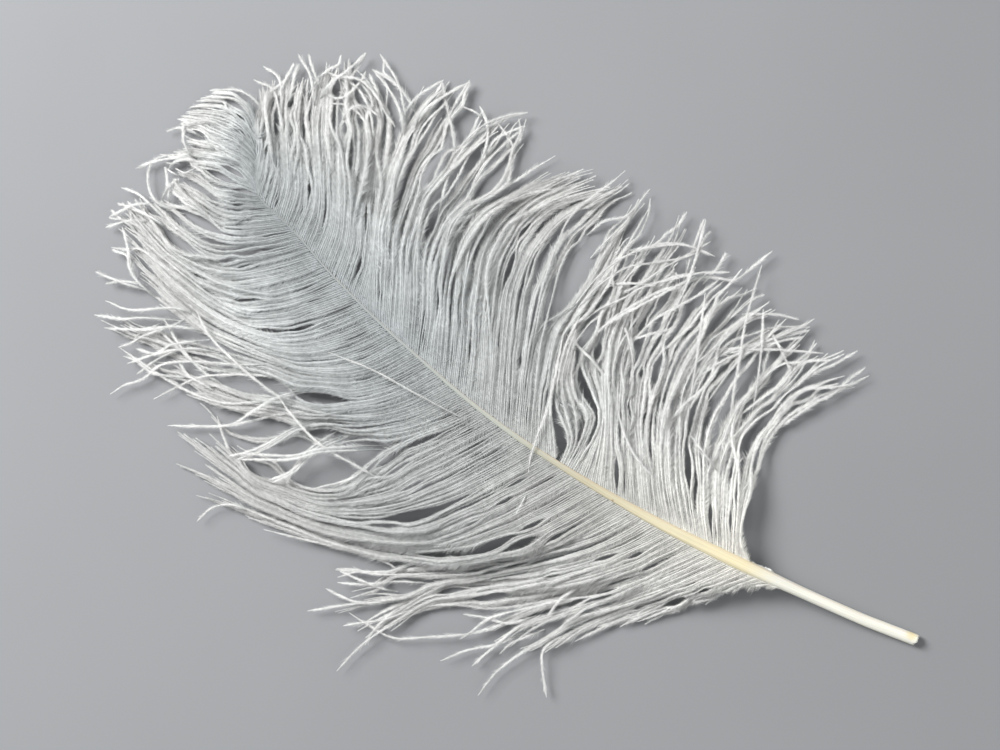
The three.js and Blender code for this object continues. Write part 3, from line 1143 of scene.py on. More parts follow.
@dataclass
class Lock:
    """A lock of barbs that lie together.

    Guides are barbs listed from the quill's side to the tip's side: the place on the
    shaft where each starts, and five points that it runs through. roots is the stretch of
    the shaft that the lock's barbs grow from. tangle is how far barbs stray sideways near
    their ends, in millimetres. tone is its brightness, painted light and shade that makes
    whole locks lighter or darker for how light falls, and netted, from 0 to 1, how much its
    strands stick together and swap barbs. slits is how many small slits it has for each barb.
    before and after are the nearest guides of the locks next to it, so that barbs near its
    edges lean towards them. Roots lie root_out to the side and root_up above the shaft's
    middle, in widths of it. rolls are the angles that a strand and a barb in it twist by.
    """

    name: str
    side: Side
    roots: tuple[float, float]
    guides: tuple[Guide, ...]
    tangle: float = 1.5
    shortest: float = 0.88
    pitch: float = 0.78
    lift: float = 1.6
    barb_width: float = 1.0
    # tone is painted light and shade: whole locks painted lighter or darker for how light falls.
    painted_lock_light: float = 1.0
    netted: float = 0.3
    slits: float = 0.22
    seed: int = 1
    before: Guide | None = None
    after: Guide | None = None
    gatherings: tuple[Gathering, ...] = ROUGH
    root_out: float = 0.36
    root_up: float = 0.12
    rolls: tuple[float, float] = (24.0, 16.0)
    spread_steps: int = 8
    steps: int = 64

    def field(self, shaft: Shaft) -> tuple[np.ndarray, np.ndarray]:
        """The guides, with more drawn between them.

        Args:
            shaft: the shaft they start on.

        Returns:
            The root place of each, and its points at even steps along it.
        """
        guides = [guide for guide in (self.before, *self.guides, self.after) if guide]
        places = np.array([start for start, _ in guides], float)
        starts = self.root_points(shaft, places)[:, :2]
        lines = np.array([(start, *points) for start, (_, points) in zip(starts, guides)], float)
        lines = evenly_spaced(smooth_curve(lines, CURVE_SAMPLES), self.steps)
        rows = (len(places) - 1) * self.spread_steps + 1
        more = smooth_curve(lines.reshape(len(places), -1), rows).reshape(rows, self.steps, 2)
        numbers = np.arange(len(places))
        return np.interp(np.linspace(0, numbers[-1], rows), numbers, places), more

    def root_points(self, shaft: Shaft, u: np.ndarray) -> np.ndarray:
        """Where barbs leave the shaft.

        Args:
            shaft: the shaft.
            u: places along it.

        Returns:
            Points just inside the shaft's side.
        """
        v, width, direction = shaft.at(u)
        out = self.side.value * width * self.root_out
        height = shaft.height(u) + self.root_up * width
        return np.stack([u - out * direction[:, 1], v + out * direction[:, 0], height], 1)

    def bundle(self, shaft: Shaft, roots: np.ndarray, lanes: int) -> BarbBundle:
        """Draws every barb of the lock.

        Args:
            shaft: the shaft they grow from.
            roots: where along it each barb grows.
            lanes: how many lanes the bake map has.

        Returns:
            The lock's barbs.
        """
        rng = np.random.default_rng(self.seed)
        places, lines = self.field(shaft)
        count = len(roots)
        roots = roots + rng.uniform(-0.2, 0.2, count) * np.gradient(roots)
        t = np.linspace(0, 1, self.steps)
        groups = [gathering.groups(rng, count) for gathering in self.gatherings]
        follow = np.repeat(roots[:, None], self.steps, axis=1)
        for gathering, group in zip(self.gatherings, groups):
            follow = follow + gathering.moves(rng, group, roots, t) * (1 + 0.5 * self.netted)
        strand = groups[1]
        loose = rng.random(count) < 0.08 + 0.3 * self.netted
        follow = follow + self.swapped(rng, loose, t) * np.gradient(roots)[:, None]
        reach = rng.uniform(self.shortest, 1.0, strand.max() + 1)[strand]
        reach = np.minimum(reach * rng.uniform(0.93, 1.03, count), 1.0)
        flat = self.read_field(places, lines, follow, t[None] * reach[:, None])
        rooted = self.root_points(shaft, roots)
        flat = flat + (rooted[:, None, :2] - flat[:, :1]) * (1 - ease(0.0, 0.2, t))[None, :, None]
        flat = flat + self.strayed(rng, strand, flat, t)
        fluff = np.ones((count, self.steps)) * (1 - 0.45 * self.netted * ease(0.3, 0.6, t))
        for parting in (*PARTINGS[self.side], *self.small_slits(rng, flat)):
            flat, fluff = parting.open(flat, fluff)
        shared_roll = wander(rng, strand.max() + 1, 4, self.steps)[strand]
        own_roll = wander(rng, count, 4, self.steps)
        shared_angle, own_angle = np.radians(self.rolls)
        roll = shared_roll * shared_angle + own_roll * own_angle
        height = self.heights(rng, strand, rooted[:, 2], t)
        height = height + (loose * rng.uniform(0.6, 2.2, count))[:, None] * ease(0.25, 0.5, t)
        return BarbBundle(
            paths=np.concatenate([flat, height[..., None]], axis=-1),
            roll=roll * ease(0.12, 0.6, t),
            fluff=fluff,
            width=self.barb_width * rng.uniform(0.85, 1.15, count),
            # Each barb's own random brightness, times painted light and shade for its lock and spots.
            shade=(rng.uniform(0.90, 1.04, count) * self.painted_lock_light)[:, None] * painted_light_at(flat),
            lane=np.arange(count),
            lanes=lanes,
        )

    def small_slits(self, rng: np.random.Generator, flat: np.ndarray) -> list[Parting]:
        """Narrow slits at random places along the barbs.

        Args:
            rng: the seeded source of random numbers.
            flat: the barbs' plan points.

        Returns:
            The slits.
        """
        found = []
        for share, places, lengths, widths, margin in SLIT_KINDS:
            low, high = (int(place * self.steps) for place in places)
            for _ in range(round(share * self.slits * len(flat))):
                line = flat[rng.integers(len(flat))]
                first = rng.integers(low, high)
                last = first + rng.integers(*lengths)
                width = rng.uniform(*widths)
                found.append(Parting(tuple(line[first]), tuple(line[last]), width, margin))
        return found

    def swapped(self, rng: np.random.Generator, loose: np.ndarray, t: np.ndarray) -> np.ndarray:
        """How far loose barbs cross over to other strands.

        Args:
            rng: the seeded source of random numbers.
            loose: which barbs do.
            t: shares of a barb's length.

        Returns:
            (barbs, steps) moves, in barb pitches.
        """
        moves = np.zeros((len(loose), len(t)))
        for low, high in ((0.22, 0.5), (0.5, 0.8)):
            start = rng.uniform(low, high, (len(loose), 1))
            jump = rng.choice([-1.0, 1.0], len(loose)) * rng.uniform(2.0, 5.0, len(loose))
            moves += (loose * jump)[:, None] * ease(start, start + rng.uniform(0.14, 0.3), t)
        return moves

    def read_field(
        self, places: np.ndarray, lines: np.ndarray, follow: np.ndarray, t: np.ndarray
    ) -> np.ndarray:
        """Reads points between the guides.

        Args:
            places: the guides' root places.
            lines: the guides' points.
            follow: the root place to read at, for each barb and step.
            t: the share of the length to read at, for each barb and step.

        Returns:
            (barbs, steps, 2) plan points.
        """
        row = np.interp(follow, places, np.arange(len(places)))
        low = np.minimum(row.astype(int), len(places) - 2)
        part = (row - low).reshape(-1, 1)
        flat_t = t.reshape(-1)
        one = along(lines, low.reshape(-1), flat_t)
        other = along(lines, low.reshape(-1) + 1, flat_t)
        return (one * (1 - part) + other * part).reshape(*follow.shape, 2)

    def strayed(
        self, rng: np.random.Generator, strand: np.ndarray, flat: np.ndarray, t: np.ndarray
    ) -> np.ndarray:
        """Sideways moves that take barbs off their lines, more towards their ends.

        Args:
            rng: the seeded source of random numbers.
            strand: the number of each barb's strand.
            flat: the barbs' plan points.
            t: shares of a barb's length.

        Returns:
            The moves, in plan.
        """
        count, number = len(flat), strand.max() + 1
        shared = wander(rng, number, 3, self.steps)[strand]
        own = wander(rng, count, 4, self.steps)
        fine = wander(rng, count, 12, self.steps)
        aside = self.tangle * (0.7 * shared + 0.35 * own) * ease(0.22, 1.0, t)
        aside = aside + 0.15 * fine * ease(0.02, 0.2, t) * (1 - 0.6 * ease(0.5, 0.9, t))
        curl = 0.6 * rng.normal(0, 1.0, number)[strand] + 0.4 * rng.normal(0, 1.0, count)
        aside = aside + curl[:, None] * self.tangle * np.clip((t - 0.75) / 0.25, 0, 1) ** 2
        return leftwards(unit(np.gradient(flat, axis=1))) * aside[..., None]

    def heights(
        self, rng: np.random.Generator, strand: np.ndarray, rooted: np.ndarray, t: np.ndarray
    ) -> np.ndarray:
        """Heights of barbs that rise a little off the shaft, droop and lie on the surface.

        Args:
            rng: the seeded source of random numbers.
            strand: the number of each barb's strand.
            rooted: height of each barb's root.
            t: shares of a barb's length.

        Returns:
            (barbs, steps) heights.
        """
        count, number = len(rooted), strand.max() + 1
        layer = rng.uniform(0.2, 1.0, number)[strand][:, None] * 3.0
        layer = layer + rng.uniform(0, 0.7, (count, 1))
        settled = 0.7 + layer * (0.6 + 0.5 * wander(rng, number, 4, self.steps)[strand])
        droop = 1 - ease(0.0, 0.62, t)
        swell = self.lift * np.sin(np.pi * np.clip(t / 0.5, 0, 1))
        bob = 0.25 * rng.normal(0, 1.0, (count, 1)) * ease(0.0, 0.08, t)
        return rooted[:, None] * droop + swell + bob + np.abs(settled) * ease(0.08, 0.5, t)

    def build(
        self, shaft: Shaft, maker: BarbMaker, finish: bpy.types.Material
    ) -> bpy.types.Object:
        """Makes the lock.

        Args:
            shaft: the shaft it grows on.
            maker: what gives barbs their ribs and barbules.
            finish: the barbs' material.

        Returns:
            The lock's object.
        """
        soup = TriangleSoup(self.name + "_barbs")
        strays = STRAYS.get(self.name, ())
        roots = shaft.spaced(self.roots, self.pitch)
        lanes = len(roots) + len(strays)
        bundles = [self.bundle(shaft, roots, lanes)]
        bundles += [stray.bundle(len(roots) + i, lanes) for i, stray in enumerate(strays)]
        rng = np.random.default_rng(BARBULE_SEEDS + self.seed)
        for bundle in bundles:
            maker.add_ribs(soup, bundle)
            maker.add_barbules(soup, bundle, rng)
        made = soup.build(finish)
        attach(made, BODY)
        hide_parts(self.name)
        return made


@dataclass(frozen=True)
class Stray:
    """A loose barb end that lies apart from its lock or across it.

    points are in plan. starts is the share of a barb's length that its first point stands for,
    so that its colour and barbules suit an outer stretch. height is how high it lies, and rise
    the share of that which it comes up from beneath the lock.
    """

    points: tuple[Point, ...]
    height: float = 3.6
    starts: float = 0.55
    width: float = 0.85
    shade: float = 1.03
    rise: float = 0.45
    fluff: float = 0.75
    steps: int = 40

    def bundle(self, lane: int, lanes: int) -> BarbBundle:
        """Draws the barb.

        Args:
            lane: its lane on the bake map.
            lanes: how many lanes the map has.

        Returns:
            A bundle of one barb.
        """
        curve = smooth_curve(np.array([self.points], float), CURVE_SAMPLES)
        flat = evenly_spaced(curve, self.steps)
        t = np.linspace(0, 1, self.steps)
        rising = self.rise * (1 - ease(0.0, 0.2, t))
        height = self.height * (0.6 + 0.4 * np.sin(np.pi * np.clip(t, 0, 0.75)) - rising)
        return BarbBundle(
            paths=np.concatenate([flat, height[None, :, None]], axis=-1),
            roll=0.35 * np.sin(4.0 * t + self.points[0][0])[None],
            fluff=np.full((1, self.steps), self.fluff),
            width=np.array([self.width]),
            shade=np.full((1, self.steps), self.shade),
            lane=np.array([lane]),
            lanes=lanes,
            first_place=self.starts,
        )


def hand_drawn(*rows: tuple[float, ...]) -> tuple[Guide, ...]:
    """Makes guides.

    Args:
        rows: the root place of each, then u and v of its points.

    Returns:
        The guides.
    """
    return tuple((row[0], tuple(zip(row[1::2], row[2::2]))) for row in rows)


def stray(*numbers: float, **looks: float) -> Stray:
    """Makes a loose barb end.

    Args:
        numbers: u and v of its points.
        looks: those of its other fields that differ from the usual.

    Returns:
        The loose barb end.
    """
    return Stray(tuple(zip(numbers[::2], numbers[1::2])), **looks)


LOCKS = (
    Lock(
        "left_lock_1",
        Side.LEFT,
        (47.5, 79.0),
        hand_drawn(
            (49, 52.5, 16.2, 55.5, 18.8, 58.5, 21.8, 61, 24.5, 63.5, 27),
            (53, 59, 21.5, 63.3, 27.3, 67.4, 34.3, 71, 40.3, 74.5, 47.3),
            (58, 64, 25, 70, 35, 76, 44, 82, 52.5, 88.5, 60),
            (64, 71, 29, 79, 42, 87, 55, 94, 67, 100, 78),
            (71, 78, 31, 87, 46, 97, 61, 105, 73, 110, 86),
            (78, 85, 32, 95, 48, 106, 62, 116, 77, 124, 92),
        ),
        tangle=1.0,
        painted_lock_light=1.04,
        netted=0.4,
        seed=11,
    ),
    Lock(
        "left_lock_2",
        Side.LEFT,
        (79.0, 104.7),
        hand_drawn(
            (80, 87, 33, 98, 49, 112, 65, 127, 80, 144, 103),
            (88, 95, 34, 106, 50, 120, 66, 138, 85, 149.5, 112),
            (96, 103, 36, 114, 51, 129, 67, 146, 85, 162, 107),
            (104, 111, 37, 122, 52, 137, 68, 152.5, 82.5, 169.5, 97),
        ),
        tangle=2.0,
        painted_lock_light=0.93,
        netted=0.5,
        seed=12,
    ),
    Lock(
        "left_lock_3",
        Side.LEFT,
        (104.7, 163.5),
        hand_drawn(
            (105.5, 112.5, 37, 122.5, 54, 144, 75, 177, 90, 215, 101),
            (116, 123.5, 39.5, 131.5, 54, 150, 73.5, 185, 89, 227, 99),
            (128, 135, 39, 142.5, 53.5, 157, 72, 190, 87.5, 239.5, 93),
            (140, 146.5, 39, 154, 53.5, 167, 71, 196, 86, 238, 89),
            (151, 157.5, 39, 164.5, 53, 175, 70, 199, 84, 235, 86),
            (162, 168, 37, 175, 49, 183.5, 67, 203, 81, 230, 82),
        ),
        tangle=1.6,
        painted_lock_light=0.85,
        netted=0.2,
        seed=13,
    ),
    Lock(
        "left_lock_4",
        Side.LEFT,
        (163.5, 191.0),
        hand_drawn(
            (164.5, 171, 36, 178.5, 46, 189, 55, 211, 69, 240, 78),
            (172, 178.5, 36, 187, 46.5, 199, 56, 225, 69.5, 255, 79),
            (181, 187.5, 36, 196.5, 46.5, 212, 56.5, 240, 68.5, 271, 79),
            (190, 196.5, 35, 206.5, 45.5, 223, 55, 252, 65, 285, 72),
        ),
        tangle=2.6,
        painted_lock_light=0.85,
        netted=0.5,
        seed=14,
    ),
    Lock(
        "left_lock_5",
        Side.LEFT,
        (191.0, 224.0),
        hand_drawn(
            (192, 198.5, 34, 208.5, 44, 224, 51.5, 251, 57.3, 281, 56.2),
            (203, 209.5, 32.5, 218.5, 42.5, 232.5, 50.5, 256, 54, 288.5, 51),
            (213, 219.5, 30.5, 227.5, 40.5, 239.5, 48, 261, 50.5, 294.5, 46.5),
            (223, 229.5, 28, 237, 37.5, 247.5, 45, 267, 47, 299, 43.5),
        ),
        tangle=1.5,
        painted_lock_light=0.9,
        netted=0.0,
        seed=15,
    ),
    Lock(
        "left_lock_6",
        Side.LEFT,
        (224.0, 265.0),
        hand_drawn(
            (225.5, 231.5, 27.5, 239, 36.5, 249.5, 43.5, 269, 45.5, 299.5, 42),
            (235, 241, 24.5, 248, 32.5, 257.5, 40, 273, 42, 300.5, 38.5),
            (243, 249, 21.5, 255.5, 28, 264.5, 34.5, 279, 36, 302, 34),
            (251, 257, 18.5, 262.5, 23, 269, 25.8, 279, 27.2, 292.5, 28.2),
            (258, 263, 15.5, 268, 19.4, 274, 21.4, 282.5, 21.6, 292.5, 22.4),
            (263.5, 267.2, 12.8, 271.5, 15.2, 277, 17, 283.5, 17.2, 291.5, 17),
        ),
        tangle=1.6,
        painted_lock_light=0.94,
        netted=0.15,
        seed=16,
    ),
    Lock(
        "right_lock_1",
        Side.RIGHT,
        (60.0, 91.7),
        hand_drawn(
            (61, 68.6, 7.2, 73.4, -5.5, 78.5, -24, 75, -42, 65, -60),
            (66, 73, 4, 80, -8, 84.5, -24, 82, -42, 74, -63),
            (71, 79, 5, 87, -8, 92, -26, 90, -44, 88, -62),
            (77, 87, 5, 97, -9, 103, -27, 102, -45, 98, -62),
            (84, 95, 6, 106, -9, 112, -28, 112, -47, 108, -62),
            (91, 102, 7, 113, -8, 120, -27, 119, -48, 115, -73),
        ),
        tangle=2.6,
        painted_lock_light=1.1,
        barb_width=1.15,
        netted=0.8,
        seed=21,
    ),
    Lock(
        "right_lock_2",
        Side.RIGHT,
        (91.7, 131.0),
        hand_drawn(
            (92.5, 104, 7, 115, -8, 122.5, -27, 123, -48, 120, -62),
            (101, 111, 8, 121, -5, 129, -24, 131, -46, 130, -64),
            (110, 118, 10, 127, -2, 137, -20, 140, -42, 138, -68),
            (118, 123, 11, 128.5, 1.5, 139.5, -13, 147.5, -36, 147, -62),
            (125.8, 127, 12, 130.4, 1.4, 143.5, -7.8, 149, -25, 149, -52),
            (127.2, 128.8, 11.5, 131.8, 3.4, 143.5, -2.2, 151.5, -20, 151, -50),
            (131, 134, 14.8, 143.2, 8.8, 151.2, -4, 155.4, -22, 153, -50),
        ),
        tangle=3.0,
        painted_lock_light=1.04,
        barb_width=1.12,
        netted=0.8,
        seed=22,
    ),
    Lock(
        "right_lock_3",
        Side.RIGHT,
        (132.5, 142.0),
        hand_drawn(
            (132.6, 137.8, 16, 145, 8.6, 152.4, -5, 156, -26, 155.5, -58),
            (135.5, 141.5, 15.5, 149, 3, 155, -11, 157, -34, 156.5, -60),
            (141, 147, 14, 153, 2, 159, -14, 161, -36, 160, -66),
        ),
        tangle=1.8,
        painted_lock_light=1.02,
        netted=0.4,
        seed=23,
    ),
    Lock(
        "right_lock_4",
        Side.RIGHT,
        (142.0, 184.7),
        hand_drawn(
            (143, 150, 13, 157.6, 0, 164.6, -17.6, 168.4, -41.5, 163, -68),
            (153, 161, 11, 169, -2, 177, -19, 179, -42, 169, -68),
            (164, 172, 10, 181, -4, 189, -21, 189, -41, 175, -66),
            (175, 183, 9, 192, -5, 199, -20, 197, -38, 181, -61),
            (184, 192, 8, 200, -5, 203.5, -18, 200.5, -33, 185, -56),
        ),
        tangle=2.2,
        painted_lock_light=0.96,
        netted=0.2,
        seed=24,
    ),
    Lock(
        "right_lock_5",
        Side.RIGHT,
        (184.7, 212.7),
        hand_drawn(
            (185.5, 194, 7, 202.5, -6, 206.5, -20, 203.5, -40, 206, -64),
            (194, 203, 7, 212, -6, 217, -24, 215, -43, 213, -61),
            (203, 212, 6, 221, -8, 227, -28, 228, -46, 228, -61),
            (212, 221, 5, 230, -9, 237, -28, 239, -44, 237, -57),
        ),
        tangle=2.5,
        painted_lock_light=1.0,
        barb_width=1.1,
        netted=0.4,
        slits=0.16,
        seed=25,
        gatherings=SMOOTH,
    ),
    Lock(
        "right_lock_6",
        Side.RIGHT,
        (212.7, 273.0),
        hand_drawn(
            (213.5, 220, 5, 229, -9, 237.5, -25, 246, -39, 258, -50),
            (224, 228.5, 4, 237.5, -10, 247, -25, 256, -36.5, 268, -42),
            (235, 238.5, 3, 247, -9, 256, -21, 263, -32, 269, -44),
            (246, 249, 2, 257, -8.5, 265.5, -18, 271, -27, 277, -36),
            (257, 260.5, 1, 267, -7.5, 273.5, -15, 278, -22, 280.5, -31),
            (265.5, 268, 1.5, 271.5, -4.8, 276, -10, 279.4, -16, 280.4, -24.5),
            (272.5, 274.3, -3.2, 276.6, -6.6, 279.3, -10.8, 281.2, -15.5, 281.3, -22),
        ),
        tangle=2.5,
        painted_lock_light=0.96,
        barb_width=1.12,
        netted=0.3,
        slits=0.1,
        seed=26,
        gatherings=SMOOTH,
    ),
    Lock(
        "tip_plume",
        Side.LEFT,
        (265.0, 277.6),
        hand_drawn(
            (265, 269, 11.2, 273.5, 13, 279, 14.4, 284.5, 14.4, 290.5, 14),
            (266.4, 271, 9.5, 276, 10.6, 281.5, 11.6, 287.5, 14, 294, 18.5),
            (267.8, 272.3, 6.5, 278, 6.9, 284.5, 9, 291.5, 14, 300, 22.5),
            (269.2, 273.3, 4.4, 278.5, 4.9, 284, 6.4, 289.5, 8.8, 295, 13),
            (270.4, 274.5, 2.4, 280, 3.2, 286, 4.2, 292.5, 5.2, 300, 8.5),
            (271.6, 276, 0.3, 281.5, 0.6, 287.5, 1.7, 294.5, 3.4, 302, 6.5),
            (272.9, 277.2, -2.2, 282.5, -2.9, 289, -1.9, 295.5, 0.8, 302, 4),
            (274.3, 278.4, -4.8, 283.2, -6.2, 289, -5.8, 295.5, -2.8, 301.5, 1.5),
            (275.8, 279.6, -7.2, 284.5, -9.2, 290, -8.8, 295.5, -6.2, 300, -3.2),
            (277.5, 280.5, -10.8, 285, -13.2, 290, -13, 294.5, -11, 298, -8.8),
        ),
        tangle=0.5,
        pitch=0.4,
        barb_width=0.75,
        lift=0.8,
        painted_lock_light=1.08,
        netted=0.0,
        slits=0.08,
        seed=31,
        gatherings=SMOOTH[:2],
    ),
)

